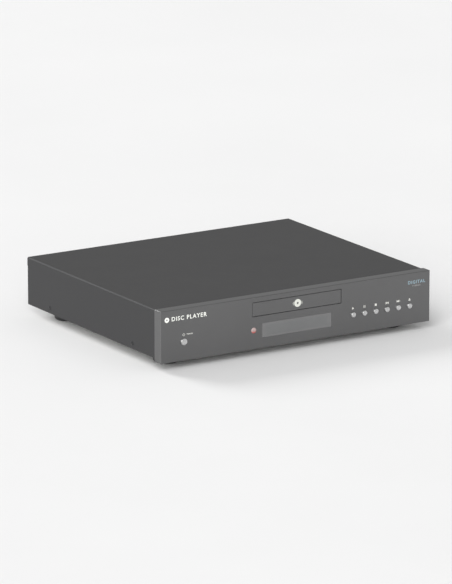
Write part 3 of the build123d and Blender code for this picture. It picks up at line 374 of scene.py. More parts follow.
def panel_finish():
    """Satin anodised aluminium with a faint grain along the panel."""
    base = set_colour("panel")
    # its paler edges are wear and also a painted highlight along the panel's edges
    return finish("Anodised panel", base, lighter(base, 1.06), (0.36, 0.44), rub_and_highlight=0.35,
                  rubbed=lighter(base, 2.0), scale=9.0, grain=(ALONG_X, 0.10, 0.00003), metallic=0.85)


def cover_finish():
    """Dark satin powder paint on folded steel, its colour set darker than the paint itself as painted shade.
    """
    base = set_colour("cover")
    # its paler edges are wear and also a painted highlight along the cover's folds
    return finish("Powder paint", base, lighter(base, 1.12), (0.50, 0.60), rub_and_highlight=0.5,
                  rubbed=lighter(base, 2.6), dust=0.04, scale=7.0, speckle=(1500.0, 0.22, 0.00006),
                  ior=1.38, specular=0.3)


def rear_finish():
    """Matt black paint on the rear plate."""
    return finish("Rear paint", (0.022, 0.022, 0.023), (0.030, 0.030, 0.031), (0.50, 0.62), rub_and_highlight=0.5,
                  rubbed=(0.12, 0.12, 0.12), scale=12.0, speckle=(2200.0, 0.15, 0.00004))


def plated_finish():
    """Zinc-plated sheet steel with a rolled grain."""
    return finish("Zinc plate", (0.48, 0.48, 0.46), (0.56, 0.56, 0.53), (0.28, 0.42), scale=26.0,
                  grain=(ALONG_Y, 0.12, 0.00003), metallic=1.0)


def black_screw_finish():
    """Blackened screws, with bright rubs where a driver has touched them."""
    return finish("Black screw", (0.030, 0.030, 0.032), (0.050, 0.050, 0.052), (0.30, 0.42), rub_and_highlight=0.7,
                  rubbed=(0.30, 0.30, 0.30), scale=300.0, metallic=0.7)


def bright_screw_finish():
    """Plated steel of screws, rods and pins."""
    return finish("Bright steel", (0.52, 0.52, 0.51), (0.62, 0.62, 0.60), (0.20, 0.30), scale=240.0,
                  metallic=1.0)


def cap_finish():
    """Turned aluminium; its rings are too fine to see, so it has a plain satin grain."""
    base = set_colour("button")
    return finish("Turned cap", base, lighter(base, 1.08), (0.24, 0.32), rub_and_highlight=0.3, rubbed=(0.8, 0.8, 0.8),
                  scale=220.0, grain=((2200.0, 2200.0, 60.0), 0.08, 0.00002), metallic=0.9)


def ink_finish(name, colour):
    """Screen-printed ink, slightly uneven."""
    return finish(name, colour, lighter(colour, 1.08), (0.40, 0.52), scale=700.0,
                  speckle=(9000.0, 0.10, 0.00001))


def moulded_finish(name, tone, rough=(0.42, 0.55), speckle=(2600.0, 0.25, 0.00005), gain=1.15, scale=30.0):
    """Moulded plastic with a fine spark texture; gain is how much paler it wears."""
    return finish(name, tone, lighter(tone, gain), rough, rub_and_highlight=0.2, rubbed=lighter(tone, 2.2), scale=scale,
                  speckle=speckle)


def lens_finish():
    """Frosted red moulding over the remote sensor: its own deep red at its lower side, and above it a pale
    pink that is a painted highlight.
    """
    material, tree = new_material("Sensor lens", coat=0.5, coat_roughness=0.06)
    base = set_colour("lens")
    deep_red = (0.42, 0.045, 0.035, 1.0)
    lo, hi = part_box("sensor_lens")
    red_until = lo.z + 1.0 * MM
    painted_highlight_from = (lo.z + hi.z) / 2 + 0.6 * MM
    # painted highlight: the lens runs from its own deep red at the bottom to the pale pink painted highlight
    # above
    rise = ranged(tree, split(tree, object_place(tree))["Z"], red_until, painted_highlight_from,
                  interpolation_type="SMOOTHSTEP")
    handling = effect(tree, "Handling", Tone=rgba(base), Worn_Tone=rgba(lighter(base, 1.15)), Scale=420.0,
                      Rough_Low=0.14, Rough_High=0.22)
    feed_shader(material, {"Base Color": mixed(tree, rise, deep_red, handling["Colour"]),
                           "Roughness": handling["Roughness"]})
    return material


def window_finish():
    """Smoked acrylic: glossy, with the display's darker field behind its middle."""
    material, tree = new_material("Smoked window", coat=0.6, coat_roughness=0.03, ior=1.49)
    base = set_colour("window")
    field_tone = (0.075, 0.088, 0.090, 1.0)
    field_strength = 0.16
    lo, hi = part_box("display_module")
    half_width = (hi.x - lo.x) / 2 - 4 * MM
    half_height = 6.4 * MM
    place = object_place(tree)
    from_middle = add_node(tree, "VectorMath", {0: place, 1: (lo + hi) / 2}, operation="SUBTRACT")
    parts = split(tree, from_middle.outputs[0])
    edges = []
    for axis, half, soft in (("X", half_width, 1.5 * MM), ("Z", half_height, 1.0 * MM)):
        away = add_node(tree, "Math", {0: parts[axis]}, operation="ABSOLUTE").outputs["Value"]
        edges.append(ranged(tree, away, half + soft, half))
    field = product(tree, product(tree, *edges), field_strength)
    handling = effect(tree, "Handling", Tone=rgba(base), Worn_Tone=rgba(lighter(base, 1.05)), Scale=30.0,
                      Rough_Low=0.10, Rough_High=0.16)
    feed_shader(material, {"Base Color": mixed(tree, field, handling["Colour"], field_tone),
                           "Roughness": handling["Roughness"]})
    return material


def board_finish():
    """Green solder mask with pale copper tracks under it."""
    material, tree = new_material("Board laminate", coat=0.4, coat_roughness=0.15)
    tracks = add_node(tree, "TexBrick", {
        "Vector": object_place(tree), "Scale": 90.0, "Color1": (0.010, 0.060, 0.024, 1.0),
        "Color2": (0.014, 0.080, 0.030, 1.0), "Mortar": (0.030, 0.150, 0.060, 1.0), "Mortar Size": 0.05})
    handling = effect(tree, "Handling", Scale=60.0, Rough_Low=0.25, Rough_High=0.4)
    feed_shader(material, {"Base Color": tracks.outputs["Color"], "Roughness": handling["Roughness"]})
    return material


def ring_finish():
    """Insulating rings round the jacks: black, red and white by their place along the panel."""
    material, tree = new_material("Jack rings", coat=0.3)
    lo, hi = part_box("jack_rings")
    along = ranged(tree, split(tree, object_place(tree))["X"], lo.x, hi.x)
    ramp = add_node(tree, "ValToRGB", {"Fac": along})
    bands = ramp.color_ramp
    bands.interpolation = "CONSTANT"
    bands.elements[0].color = (0.02, 0.02, 0.02, 1.0)
    bands.elements[1].position = 0.30
    bands.elements[1].color = (0.50, 0.02, 0.02, 1.0)
    bands.elements.new(0.70).color = (0.72, 0.72, 0.70, 1.0)
    handling = effect(tree, "Handling", Scale=200.0, Rough_Low=0.25, Rough_High=0.38)
    feed_shader(material, {"Base Color": ramp.outputs["Color"], "Roughness": handling["Roughness"]})
    return material


# --- mesh helpers
FACE_FRONT = Matrix.Rotation(math.radians(90), 4, "X")
FACE_REAR = Matrix.Rotation(math.radians(180), 4, "Z") @ FACE_FRONT
ALONG_PLUS_Y = Matrix.Rotation(math.radians(-90), 4, "X")
POLE_GAP = 0.001 * MM
SOLID_GAP = 0.01 * MM


def dress(nodes, material):
    """Puts a material on carried-over parts."""
    for name in nodes:
        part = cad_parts[name]
        if not part.data.materials:
            part.data.materials.append(material)
        for place in part.material_slots:
            place.material = material


def mesh_from(builder, name):
    """Turns a bmesh into a mesh and lets the bmesh go."""
    mesh = bpy.data.meshes.new(name)
    builder.to_mesh(mesh)
    builder.free()
    return mesh


def add_object(name, data):
    """A new object in the scene."""
    item = bpy.data.objects.new(name, data)
    bpy.context.scene.collection.objects.link(item)
    return item


def piece_from(builder, name, body, material, replaced=()):
    """Turns a bmesh into a finished piece that rides on a body."""
    mesh = mesh_from(builder, name)
    piece = add_object(name, mesh)
    mesh.materials.append(material)
    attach(piece, body)
    if replaced:
        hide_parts(*replaced)
    return piece


def print_from(builder, name, body, ink):
    """Turns raised ink shapes into a finished piece that rides on a body."""
    bmesh.ops.recalc_face_normals(builder, faces=builder.faces[:])
    return piece_from(builder, name, body, ink)


def shade(piece, angle):
    """Smooth shading that keeps edges sharper than an angle in degrees."""
    for face in piece.data.polygons:
        face.use_smooth = True
    piece.data.set_sharp_from_angle(angle=math.radians(angle))
    return piece


def spun(builder, points, angle, steps, closed):
    """Adds points joined by edges and turns them round local Z; gives the new vertices and faces."""
    known = set(builder.verts) | set(builder.faces)
    line = [builder.verts.new(point) for point in points]
    edges = [builder.edges.new(pair) for pair in zip(line, line[1:])]
    bmesh.ops.spin(builder, geom=line + edges, cent=(0, 0, 0), axis=(0, 0, 1), angle=angle, steps=steps,
                   use_merge=closed)
    return ([vertex for vertex in builder.verts if vertex not in known],
            [face for face in builder.faces if face not in known])


def turned(builder, profile, place, steps):
    """Adds a lathe-turned shape: profile points are (radius, height) along local Z, set down by a matrix."""
    points = [(radius, 0.0, height) for radius, height in profile]
    fresh = spun(builder, points, FULL_TURN, steps, True)[0]
    bmesh.ops.transform(builder, matrix=place, verts=fresh)


def close_up(builder):
    """Merges poles and seams and turns every face outwards."""
    bmesh.ops.remove_doubles(builder, verts=builder.verts[:], dist=POLE_GAP)
    bmesh.ops.dissolve_degenerate(builder, dist=POLE_GAP, edges=builder.edges[:])
    bmesh.ops.recalc_face_normals(builder, faces=builder.faces[:])


def arc(centre, radius, start, stop, steps):
    """Points of an arc in the profile plane, angles in degrees."""
    points = []
    for step in range(steps + 1):
        angle = math.radians(start + (stop - start) * step / steps)
        points.append((centre[0] + radius * math.cos(angle), centre[1] + radius * math.sin(angle)))
    return points


def solids(node):
    """The boxes of a part's separate solids, each (lowest corner, highest corner)."""
    builder = bmesh.new()
    builder.from_mesh(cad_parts[node].data)
    bmesh.ops.remove_doubles(builder, verts=builder.verts[:], dist=SOLID_GAP)
    waiting = set(builder.verts)
    boxes = []
    while waiting:
        stack = [waiting.pop()]
        low = stack[0].co.copy()
        high = stack[0].co.copy()
        while stack:
            vertex = stack.pop()
            for axis in range(3):
                low[axis] = min(low[axis], vertex.co[axis])
                high[axis] = max(high[axis], vertex.co[axis])
            for edge in vertex.link_edges:
                other = edge.other_vert(vertex)
                if other in waiting:
                    waiting.remove(other)
                    stack.append(other)
        boxes.append((low, high))
    builder.free()
    return sorted(boxes, key=lambda box: tuple(round(value, 5) for value in box[0]))


def raise_flat(builder, flat, faces, place, depth):
    """Gives flat faces a small thickness towards local +Z and sets them down by a matrix."""
    raised = bmesh.ops.extrude_face_region(builder, geom=faces)
    moved = [item for item in raised["geom"] if isinstance(item, bmesh.types.BMVert)]
    bmesh.ops.translate(builder, verts=moved, vec=(0, 0, depth))
    bmesh.ops.transform(builder, matrix=place, verts=flat + moved)


def outline(builder, points, place, depth):
    """Adds a flat shape with a small thickness: points in local XY, its front towards local +Z."""
    corners = [builder.verts.new((x, y, 0.0)) for x, y in points]
    raise_flat(builder, corners, [builder.faces.new(corners)], place, depth)


def rectangle(builder, left, right, low, high, place, depth):
    """Adds a flat rectangle with a small thickness."""
    outline(builder, [(left, low), (right, low), (right, high), (left, high)], place, depth)


def ring_shape(builder, inner, outer, start, stop, place, depth, steps=28):
    """Adds a flat ring or part of one with a small thickness, from one angle to another in degrees."""
    span = math.radians(stop - start)
    turn = Matrix.Rotation(math.radians(start), 3, "Z")
    ends = [turn @ Vector((radius, 0.0, 0.0)) for radius in (inner, outer)]
    flat, faces = spun(builder, ends, span, steps, stop - start == 360)
    raise_flat(builder, flat, faces, place, depth)


def lettering(builder, words, place, height, depth, align="CENTER", weight=0.012, spacing=1.05):
    """Adds raised letters, scaled so that a capital has the given height; weight thickens their strokes."""
    curve = bpy.data.curves.new("letters", "FONT")
    curve.body = words
    curve.align_x = align
    curve.align_y = "CENTER"
    curve.resolution_u = 4
    curve.offset = weight
    curve.space_character = spacing
    curve.extrude = 0.5
    curve.size = 1.0
    carrier = add_object("letters", curve)
    bpy.context.view_layer.update()
    mesh = bpy.data.meshes.new_from_object(carrier.evaluated_get(bpy.context.evaluated_depsgraph_get()))
    heights = [vertex.co.y for vertex in mesh.vertices]
    scale = height / (max(heights) - min(heights))
    mesh.transform(Matrix.Diagonal((scale, scale, depth, 1.0)))
    mesh.transform(Matrix.Translation((0, 0, depth / 2)))
    mesh.transform(place)
    builder.from_mesh(mesh)
    bpy.data.objects.remove(carrier)
    bpy.data.curves.remove(curve)
    bpy.data.meshes.remove(mesh)


def on_front(x, z, y):
    """Where a mark sits on the front: its middle, facing the front."""
    return Matrix.Translation((x, y, z)) @ FACE_FRONT


def on_rear(x, z, y):
    """Where a mark sits on the rear plate: its middle, facing the rear."""
    return Matrix.Translation((x, y, z)) @ FACE_REAR


def middle(node):
    """The middle of a part's box."""
    lo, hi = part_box(node)
    return (lo + hi) / 2


# --- front
BUTTON_FLANGE = 1.2 * MM
# the face's hollow: (share of the cap's radius, share of the dish's depth)
DISH = ((0.0, 1.0), (0.45, 0.85), (0.72, 0.45))
LENS_FLANGE = 1.2 * MM
LENS_WALL = 3.5 * MM
LENS_SKIN = 0.8 * MM
# the dome: (share of its radius, height above the panel's face)
DOME = ((0.0, 0.35 * MM), (0.4, 0.28 * MM), (0.7, 0.1 * MM), (0.9, -0.15 * MM), (1.0, -0.5 * MM))


class DISC_PLAYER_OT_case(bpy.types.Operator):
    """Finish the front panel, cover, base and rear plate"""

    bl_idname = "disc_player.case"
    bl_label = "Case finishes"

    def execute(self, context):
        dress(["front_panel", "tray_front"], panel_finish())
        dress(["top_cover"], cover_finish())
        dress(["rear_panel"], rear_finish())
        dress(["chassis_base", "clamp_bridge", "transformer_core"], plated_finish())
        return {"FINISHED"}


class DISC_PLAYER_OT_buttons(bpy.types.Operator):
    """Turn the seven button caps, each with a polished edge and a dished face"""

    bl_idname = "disc_player.buttons"
    bl_label = "Button caps"

    def execute(self, context):
        size = sizes()
        edge = size.cap_chamfer
        for name in ("power",) + BUTTONS:
            node = name + "_button"
            lo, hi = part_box(node)
            centre = (lo + hi) / 2
            length = hi.y - lo.y
            seat = length - BUTTON_FLANGE
            flange = (hi.x - lo.x) / 2
            cap = flange - size.flange_overhang
            profile = [(cap * out, -size.cap_dish * deep) for out, deep in DISH]
            profile += [(cap - edge - 0.12 * MM, -0.06 * MM), (cap - edge, 0.0)]
            profile += arc((cap - edge, -edge), edge, 80, 0, 5)
            profile += [(cap, -seat + 0.1 * MM), (cap, -seat), (flange, -seat), (flange, -length),
                        (0.0, -length)]
            builder = bmesh.new()
            turned(builder, profile, on_front(centre.x, centre.z, lo.y), size.lathe_steps)
            close_up(builder)
            shade(piece_from(builder, name + "_cap", name, cap_finish(), [node]), 28)
        return {"FINISHED"}


def symbol(builder, kind, place, size, depth):
    """Adds the usual transport symbol of a button."""
    half = size / 2
    bar = size * 0.24

    def box(left, right, low=-half, high=half):
        rectangle(builder, left, right, low, high, place, depth)

    def wedge(left, right):
        outline(builder, [(left, -half), (right, 0.0), (left, half)], place, depth)

    if kind == "play":
        wedge(-half * 0.85, half * 0.95)
    elif kind == "pause":
        box(-half * 0.8, -half * 0.8 + bar)
        box(half * 0.8 - bar, half * 0.8)
    elif kind == "stop":
        box(-half * 0.9, half * 0.9, -half * 0.9, half * 0.9)
    elif kind == "back":
        box(-size * 0.80, -size * 0.68)
        wedge(size * 0.04, -size * 0.64)
        wedge(size * 0.74, size * 0.06)
    elif kind == "forward":
        wedge(-size * 0.74, -size * 0.06)
        wedge(-size * 0.04, size * 0.64)
        box(size * 0.68, size * 0.80)
    else:
        outline(builder, [(-half, -half * 0.1), (half, -half * 0.1), (0.0, half)], place, depth)
        box(-half, half, -half, -half * 0.5)


class DISC_PLAYER_OT_legends(bpy.types.Operator):
    """Print the symbols above the buttons and the power mark"""

    bl_idname = "disc_player.legends"
    bl_label = "Button legends"

    def execute(self, context):
        size = sizes()
        depth = size.print_thickness
        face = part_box("front_panel")[0].y
        builder = bmesh.new()
        for name in BUTTONS:
            centre = middle(name + "_button")
            place = on_front(centre.x, centre.z + size.legend_rise, face)
            symbol(builder, name, place, size.legend_size, depth)
        power = middle("power_button")
        line = power.z + size.legend_rise + 0.6 * MM
        place = on_front(power.x, line, face)
        ring_shape(builder, 1.35 * MM, 1.8 * MM, 120, 420, place, depth)
        rectangle(builder, -0.22 * MM, 0.22 * MM, 0.2 * MM, 2.2 * MM, place, depth)
        lettering(builder, "POWER", on_front(power.x + 9.5 * MM, line, face), 1.9 * MM, depth)
        print_from(builder, "button_legends", "chassis", ink_finish("Pale ink", set_colour("marks")))
        return {"FINISHED"}


class DISC_PLAYER_OT_titles(bpy.types.Operator):
    """Print the plain title at the upper left and the small badge at the upper right"""

    bl_idname = "disc_player.titles"
    bl_label = "Panel titles"

    def execute(self, context):
        size = sizes()
        depth = size.print_thickness
        lo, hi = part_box("front_panel")
        face = lo.y
        line = lo.z + size.title_rise
        left = lo.x + 6.6 * MM
        right = hi.x - 22.0 * MM
        builder = bmesh.new()
        ring_shape(builder, 1.1 * MM, 3.5 * MM, 0, 360, on_front(left + 3.6 * MM, line, face), depth, 40)
        lettering(builder, "DISC PLAYER", on_front(left + 10.6 * MM, line, face), size.title_height, depth,
                  "LEFT", 0.016, 1.2)
        print_from(builder, "panel_title", "chassis", ink_finish("Bright ink", (0.80, 0.81, 0.76)))
        blue = ink_finish("Blue ink", set_colour("badge"))
        grey = ink_finish("Grey ink", (0.34, 0.34, 0.34))
        for name, words, drop, height, weight, spacing, ink in (
                ("panel_badge", "DIGITAL", 0.8 * MM, 4.6 * MM, 0.02, 1.25, blue),
                ("panel_badge_line", "STEREO", 5.8 * MM, 2.0 * MM, 0.012, 1.5, grey)):
            builder = bmesh.new()
            lettering(builder, words, on_front(right, line - drop, face), height, depth, "CENTER", weight,
                      spacing)
            print_from(builder, name, "chassis", ink)
        return {"FINISHED"}


class DISC_PLAYER_OT_window(bpy.types.Operator):
    """Finish the display window and what lies behind it"""

    bl_idname = "disc_player.window"
    bl_label = "Display window"

    def execute(self, context):
        dress(["display_window"], window_finish())
        dress(["display_module"], moulded_finish("Display glass", (0.02, 0.028, 0.028), (0.1, 0.18),
                                                 (3000, 0.05, 0.00001)))
        return {"FINISHED"}


class DISC_PLAYER_OT_lens(bpy.types.Operator):
    """Turn the domed red lens of the remote sensor"""

    bl_idname = "disc_player.lens"
    bl_label = "Sensor lens"

    def execute(self, context):
        lo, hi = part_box("sensor_lens")
        centre = (lo + hi) / 2
        flange = (hi.x - lo.x) / 2
        dome = flange - LENS_FLANGE
        bore = dome - LENS_SKIN
        length = hi.y - lo.y
        profile = [(dome * out, height) for out, height in DOME]
        profile += [(dome, -LENS_WALL), (flange, -LENS_WALL), (flange, -LENS_WALL - LENS_FLANGE),
                    (bore, -LENS_WALL - LENS_FLANGE), (bore, -length), (0.0, -length)]
        builder = bmesh.new()
        turned(builder, profile, on_front(centre.x, centre.z, lo.y), sizes().lathe_steps)
        close_up(builder)
        shade(piece_from(builder, "remote_lens", "chassis", lens_finish(),
                         ["sensor_lens"]), 40)
        return {"FINISHED"}


class DISC_PLAYER_OT_tray(bpy.types.Operator):
    """Finish the disc tray and print the disc symbol on its front"""

    bl_idname = "disc_player.tray"
    bl_label = "Disc tray"

    def execute(self, context):
        dress(["disc_tray"], moulded_finish("Tray moulding", (0.030, 0.030, 0.032), (0.38, 0.50)))
        depth = sizes().print_thickness
        lo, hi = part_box("tray_front")
        place = on_front((lo.x + hi.x) / 2 + 1.0 * MM, (lo.z + hi.z) / 2, lo.y)
        bar_half = 0.32
        builder = bmesh.new()
        ring_shape(builder, 1.5 * MM, 5.4 * MM, 0, 360, place, depth, 48)
        for side in (-1, 1):
            for rise in (-1.6, 0.0, 1.6):
                left, right = sorted((side * 5.9 * MM, side * (8.0 - abs(rise) * 0.35) * MM))
                rectangle(builder, left, right, (rise - bar_half) * MM, (rise + bar_half) * MM, place, depth)
        print_from(builder, "disc_symbol", "drawer", ink_finish("Symbol ink", (0.60, 0.61, 0.56)))
        return {"FINISHED"}


# --- fasteners, feet and connectors
SHANK = 1.4 * MM
HEAD_HEIGHT = 1.8 * MM
SIDE_HEAD_HEIGHT = 0.9 * MM


def cross_head_screw(length, shank, head, head_height):
    """One pan-head screw along local Z, its head's seat at zero and its cross recess in the top."""
    body = bmesh.new()
    dome = head_height * 0.45
    profile = [(0.0, head_height), (head * 0.45, head_height * 0.96), (head * 0.80, head_height * 0.80),
               (head * 0.97, dome), (head, dome * 0.5), (head, 0.0), (shank, 0.0),
               (shank, -length + shank * 0.6), (shank * 0.5, -length), (0.0, -length)]
    turned(body, profile, Matrix.Identity(4), 28)
    close_up(body)
    cutter = bmesh.new()
    arm = Matrix.Translation((0, 0, head_height * 0.85)) \
        @ Matrix.Diagonal((head * 1.15, head * 0.26, head_height * 0.95, 1.0))
    for turn in (0, 90):
        made = bmesh.ops.create_cube(cutter, size=1.0)
        shape = Matrix.Rotation(math.radians(turn), 4, "Z") @ arm
        bmesh.ops.transform(cutter, matrix=shape, verts=made["verts"])
    blank = add_object("screw_blank", mesh_from(body, "screw_blank"))
    tool = add_object("screw_tool", mesh_from(cutter, "screw_tool"))
    cut = blank.modifiers.new("cross", "BOOLEAN")
    cut.operation = "DIFFERENCE"
    cut.solver = "EXACT"
    cut.use_self = True
    cut.object = tool
    bpy.context.view_layer.update()
    result = bpy.data.meshes.new_from_object(blank.evaluated_get(bpy.context.evaluated_depsgraph_get()))
    bpy.data.objects.remove(blank)
    bpy.data.objects.remove(tool)
    return result


def screw_set(node):
    """A bmesh of cross-head screws in the places of a node's plain ones."""
    made = {}
    builder = bmesh.new()
    for lo, hi in solids(node):
        span = hi - lo
        axis = max(range(3), key=lambda index: span[index])
        across = span[(axis + 1) % 3] / 2
        height = SIDE_HEAD_HEIGHT if axis == 0 else HEAD_HEIGHT
        length = span[axis] - height
        key = (round(length, 6), round(across, 6), round(height, 6))
        if key not in made:
            made[key] = cross_head_screw(length, SHANK, across, height)
        centre = (lo + hi) / 2
        if axis == 0:
            side = 1 if centre.x > 0 else -1
            turn = Matrix.Rotation(math.radians(90 * side), 4, "Y")
            seat = Vector((hi.x - height if side > 0 else lo.x + height, centre.y, centre.z))
        elif axis == 1:
            turn = ALONG_PLUS_Y
            seat = Vector((centre.x, hi.y - height, centre.z))
        else:
            turn = Matrix.Identity(4)
            seat = Vector((centre.x, centre.y, hi.z - height))
        # each cross is turned by its own place, so that no two line up
        spin = Matrix.Rotation(0.7 + 13.0 * centre.x + 29.0 * centre.y + 17.0 * centre.z, 4, "Z")
        copy = made[key].copy()
        copy.transform(Matrix.Translation(seat) @ turn @ spin)
        builder.from_mesh(copy)
        bpy.data.meshes.remove(copy)
    for mesh in made.values():
        bpy.data.meshes.remove(mesh)
    return builder


class DISC_PLAYER_OT_screws(bpy.types.Operator):
    """Give the case screws cross heads, and finish the others"""

    bl_idname = "disc_player.screws"
    bl_label = "Screws"

    def execute(self, context):
        shade(piece_from(screw_set("case_screws"), "case_screw_set", "chassis",
                         black_screw_finish(), ["case_screws"]), 30)
        dress(["foot_screws", "loader_screws", "damper_screws", "board_screws", "guide_rods", "inlet_pins"],
              bright_screw_finish())
        return {"FINISHED"}


class DISC_PLAYER_OT_feet(bpy.types.Operator):
    """Turn the four feet with rounded rims and a groove"""

    bl_idname = "disc_player.feet"
    bl_label = "Feet"

    def execute(self, context):
        builder = bmesh.new()
        lo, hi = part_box("feet")
        top = hi.z - lo.z
        radius = 18.8 * MM
        rim = 0.6 * MM
        waist = top - 4.2 * MM
        toe = 1.6 * MM
        for low, high in solids("foot_pads"):
            centre = (low + high) / 2
            pad = (high.x - low.x) / 2 + 0.15 * MM
            pad_depth = high.z - lo.z
            profile = [(0.0, top), (radius - rim, top)]
            profile += arc((radius - rim, top - rim), rim, 90, 0, 4)
            profile += [(radius, waist + 0.5 * MM), (radius - rim, waist), (radius - rim, waist - 0.7 * MM),
                        (radius - 0.1 * MM, waist - 1.1 * MM)]
            profile += arc((radius - 2.4 * MM, toe), toe, 0, -90, 6)
            profile += [(pad, 0.0), (pad, pad_depth), (0.0, pad_depth)]
            turned(builder, profile, Matrix.Translation((centre.x, centre.y, lo.z)), 72)
        close_up(builder)
        black = moulded_finish("Foot moulding", (0.020, 0.020, 0.021), (0.32, 0.45))
        shade(piece_from(builder, "turned_feet", "chassis", black, ["feet"]), 32)
        dress(["foot_pads", "damper_bushes", "drive_belt"],
              finish("Rubber", (0.020, 0.020, 0.020), (0.035, 0.034, 0.033), (0.70, 0.85), scale=120.0,
                     dust=0.2, speckle=(3200.0, 0.3, 0.00006)))
        return {"FINISHED"}


class DISC_PLAYER_OT_connectors(bpy.types.Operator):
    """Turn the jacks' sleeves and finish the rear connectors"""

    bl_idname = "disc_player.connectors"
    bl_label = "Rear connectors"

    def execute(self, context):
        steps = sizes().lathe_steps
        lip = 0.45 * MM
        builder = bmesh.new()
        for (low, high), ring in zip(solids("jack_sleeves"), solids("jack_rings")):
            centre = (low + high) / 2
            outer = (high.x - low.x) / 2
            root = outer - 0.25 * MM
            inner = root - 0.6 * MM
            length = high.y - low.y
            step_at = ring[1].y - low.y
            profile = [(inner, 0.0), (root, 0.0), (root, step_at), (outer - 0.1 * MM, step_at),
                       (outer, step_at + 0.15 * MM), (outer, length - 0.5 * MM)]
            profile += arc((outer - lip, length - lip), lip, 0, 90, 5)
            profile += [(inner + 0.15 * MM, length), (inner, length - 0.2 * MM), (inner, 0.0)]
            turned(builder, profile, Matrix.Translation((centre.x, low.y, centre.z)) @ ALONG_PLUS_Y, steps)
        close_up(builder)
        nickel = finish("Nickel", (0.62, 0.60, 0.56), (0.68, 0.66, 0.62), (0.12, 0.22), scale=300.0,
                        metallic=1.0)
        shade(piece_from(builder, "jack_barrels", "chassis", nickel, ["jack_sleeves"]), 30)
        dress(["jack_rings"], ring_finish())
        dress(["jack_housings", "optical_socket", "mains_inlet"],
              moulded_finish("Connector moulding", (0.018, 0.018, 0.019), (0.34, 0.46)))
        return {"FINISHED"}


class DISC_PLAYER_OT_rear_marks(bpy.types.Operator):
    """Print the plain words beside the rear connectors"""

    bl_idname = "disc_player.rear_marks"
    bl_label = "Rear marks"

    def execute(self, context):
        depth = sizes().print_thickness
        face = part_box("rear_panel")[1].y
        builder = bmesh.new()
        coaxial, right, left = [(low + high) / 2 for low, high in solids("jack_rings")]
        optical = middle("optical_socket")
        above = coaxial.z + 12.0 * MM
        below = coaxial.z - 10.0 * MM
        marks = [
            ("LINE OUT", (left.x + right.x) / 2, above, 2.6),
            ("L", left.x, below, 2.4), ("R", right.x, below, 2.4),
            ("COAXIAL", coaxial.x, below, 2.0), ("OPTICAL", optical.x, below, 2.0),
            ("DIGITAL OUT", (coaxial.x + optical.x) / 2, above, 2.6),
            ("AC IN", middle("mains_inlet").x, above + 1.5 * MM, 2.6),
        ]
        for words, x, z, height in marks:
            lettering(builder, words, on_rear(x, z, face), height * MM, depth)
        print_from(builder, "rear_marks", "chassis", ink_finish("Pale ink", set_colour("marks")))
        return {"FINISHED"}


# --- inside
class DISC_PLAYER_OT_mechanism(bpy.types.Operator):
    """Finish the loader, the pickup and the boards inside the case"""

    bl_idname = "disc_player.mechanism"
    bl_label = "Mechanism and boards"

    def execute(self, context):
        dress(["loader_frame", "lift_frame", "lift_slider", "pickup_base", "disc_clamp", "clamp_cap"],
              moulded_finish("Frame moulding", (0.024, 0.024, 0.025)))
        dress(["motor_pulley", "belt_gear", "tray_gear", "sled_pinion", "sled_gear"],
              moulded_finish("Acetal", (0.68, 0.67, 0.61), (0.35, 0.5), (4000.0, 0.08, 0.00002), 1.05,
                             160.0))
        dress(["turntable"], moulded_finish("Turntable moulding", (0.035, 0.035, 0.035)))
        dress(["tray_motor", "spindle_motor", "sled_motor"],
              finish("Motor can", (0.50, 0.50, 0.49), (0.60, 0.60, 0.58), (0.22, 0.36), scale=120.0,
                     grain=(ALONG_Z, 0.10, 0.00002), metallic=1.0))
        dress(["pickup_sled"], finish("Cast sled", (0.40, 0.40, 0.40), (0.48, 0.48, 0.47), (0.35, 0.5),
                                      scale=160.0, metallic=0.9, speckle=(1400.0, 0.2, 0.00005)))
        dress(["pickup_lens"], finish("Pickup lens", (0.10, 0.13, 0.30), (0.16, 0.20, 0.42), (0.02, 0.05),
                                      scale=500.0, coat=1.0, coat_roughness=0.02))
        dress(["front_board", "main_board", "power_board"], board_finish())
        dress(["board_chips", "button_switches", "capacitors"],
              moulded_finish("Component moulding", (0.018, 0.018, 0.020), (0.3, 0.5)))
        dress(["transformer_coil"],
              moulded_finish("Coil tape", (0.55, 0.40, 0.06), (0.25, 0.4), (900.0, 0.2, 0.00005)))
        dress(["heatsink"], finish("Extrusion", (0.45, 0.45, 0.46), (0.52, 0.52, 0.53), (0.3, 0.4),
                                   scale=90.0, grain=(ALONG_Z, 0.15, 0.00003), metallic=1.0))
        dress(["front_ribbon"],
              moulded_finish("Ribbon film", (0.60, 0.62, 0.64), (0.25, 0.35), (900.0, 0.1, 0.00002)))
        return {"FINISHED"}


# --- stage
PICTURE_SHAPE = 584 / 452  # height over width
FLOOR_HALF = 40.0
SENSOR = 36.0


def aim(item, back):
    """Turns a light or a camera to look against a direction."""
    item.rotation_euler = (-back).to_track_quat("-Z", "Y").to_euler()


def soft_sun(name, source, spread, strength):
    """A broad, even light that comes from a direction; its spread is in degrees."""
    light = bpy.data.lights.new(name, "SUN")
    light.energy = strength
    light.angle = math.radians(spread)
    aim(add_object(name, light), Vector(source))


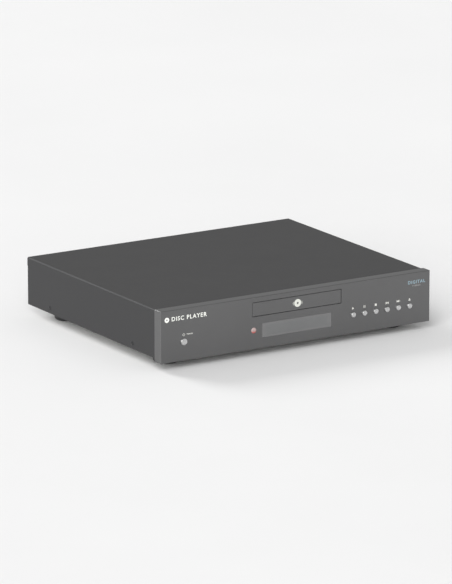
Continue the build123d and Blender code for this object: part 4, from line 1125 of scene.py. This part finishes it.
class DISC_PLAYER_OT_stage(bpy.types.Operator):
    """Lay the pale floor, light the room and stand the camera"""

    bl_idname = "disc_player.stage"
    bl_label = "Stage"

    def execute(self, context):
        scene = context.scene
        stage = scene.disc_player_stage
        lo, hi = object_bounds()
        centre = (lo + hi) / 2
        builder = bmesh.new()
        bmesh.ops.create_grid(builder, x_segments=1, y_segments=1, size=FLOOR_HALF)
        mesh = mesh_from(builder, "floor")
        mesh.materials.append(finish("Pale floor", (0.80, 0.80, 0.80), (0.81, 0.81, 0.81), (0.7, 0.8),
                                     scale=2.0))
        floor = add_object("floor", mesh)
        floor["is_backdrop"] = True
        world = bpy.data.worlds.new("room")
        world.use_nodes = True
        room = world.node_tree.nodes["Background"].inputs
        room["Color"].default_value = (1.0, 1.0, 1.0, 1.0)
        room["Strength"].default_value = stage.room_light
        scene.world = world
        soft_sun("key_light", (-0.66, -0.62, 0.38), 50, stage.key_strength)
        soft_sun("rim_light", (-0.25, 0.82, 0.51), 25, stage.rim_strength)
        data = bpy.data.cameras.new("camera")
        camera = add_object("camera", data)
        turn = stage.azimuth
        rise = stage.elevation
        back = Vector((math.sin(turn) * math.cos(rise), -math.cos(turn) * math.cos(rise), math.sin(rise)))
        camera.location = centre + back * stage.distance
        aim(camera, back)
        seen = (hi.x - lo.x) * math.cos(turn) + (hi.y - lo.y) * abs(math.sin(turn))
        tall = seen / stage.width_share * PICTURE_SHAPE
        data.sensor_width = SENSOR
        data.lens = SENSOR * stage.distance / tall
        data.clip_start = 0.1
        data.clip_end = 200.0
        scene.camera = camera
        scene.view_settings.view_transform = "Standard"
        return {"FINISHED"}


class DISC_PLAYER_PT_panel(bpy.types.Panel):
    """Lists the steps that dress the player"""

    bl_idname = "DISC_PLAYER_PT_panel"
    bl_label = "Disc Player"
    bl_space_type = "VIEW_3D"
    bl_region_type = "UI"
    bl_category = "Disc Player"

    def draw(self, context):
        for step in STEPS:
            self.layout.operator(step.bl_idname)
        for settings in SETTINGS:
            group = getattr(context.scene, settings)
            for name in group.__annotations__:
                self.layout.prop(group, name)


STEPS = (
    DISC_PLAYER_OT_case, DISC_PLAYER_OT_buttons, DISC_PLAYER_OT_legends, DISC_PLAYER_OT_titles,
    DISC_PLAYER_OT_window, DISC_PLAYER_OT_lens, DISC_PLAYER_OT_tray, DISC_PLAYER_OT_screws,
    DISC_PLAYER_OT_feet, DISC_PLAYER_OT_connectors, DISC_PLAYER_OT_rear_marks, DISC_PLAYER_OT_mechanism,
    DISC_PLAYER_OT_stage,
)
SETTINGS = {
    "disc_player_sizes": DiscPlayerSizes,
    "disc_player_colours": DiscPlayerColours,
    "disc_player_stage": DiscPlayerStage,
}
CLASSES = tuple(SETTINGS.values()) + STEPS + (DISC_PLAYER_PT_panel,)


def register():
    """Adds the settings, the operators and the panel."""
    for item in CLASSES:
        bpy.utils.register_class(item)
    for name, kind in SETTINGS.items():
        setattr(bpy.types.Scene, name, bpy.props.PointerProperty(type=kind))


def unregister():
    """Takes away what register adds."""
    for name in SETTINGS:
        delattr(bpy.types.Scene, name)
    for item in reversed(CLASSES):
        bpy.utils.unregister_class(item)


def main():
    """Dresses the player step by step."""
    register()
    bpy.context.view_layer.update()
    for step in STEPS:
        group, name = step.bl_idname.split(".")
        if getattr(getattr(bpy.ops, group), name)() != {"FINISHED"}:
            raise RuntimeError("stopped at " + step.bl_label)


if __name__ == "__main__":
    main()
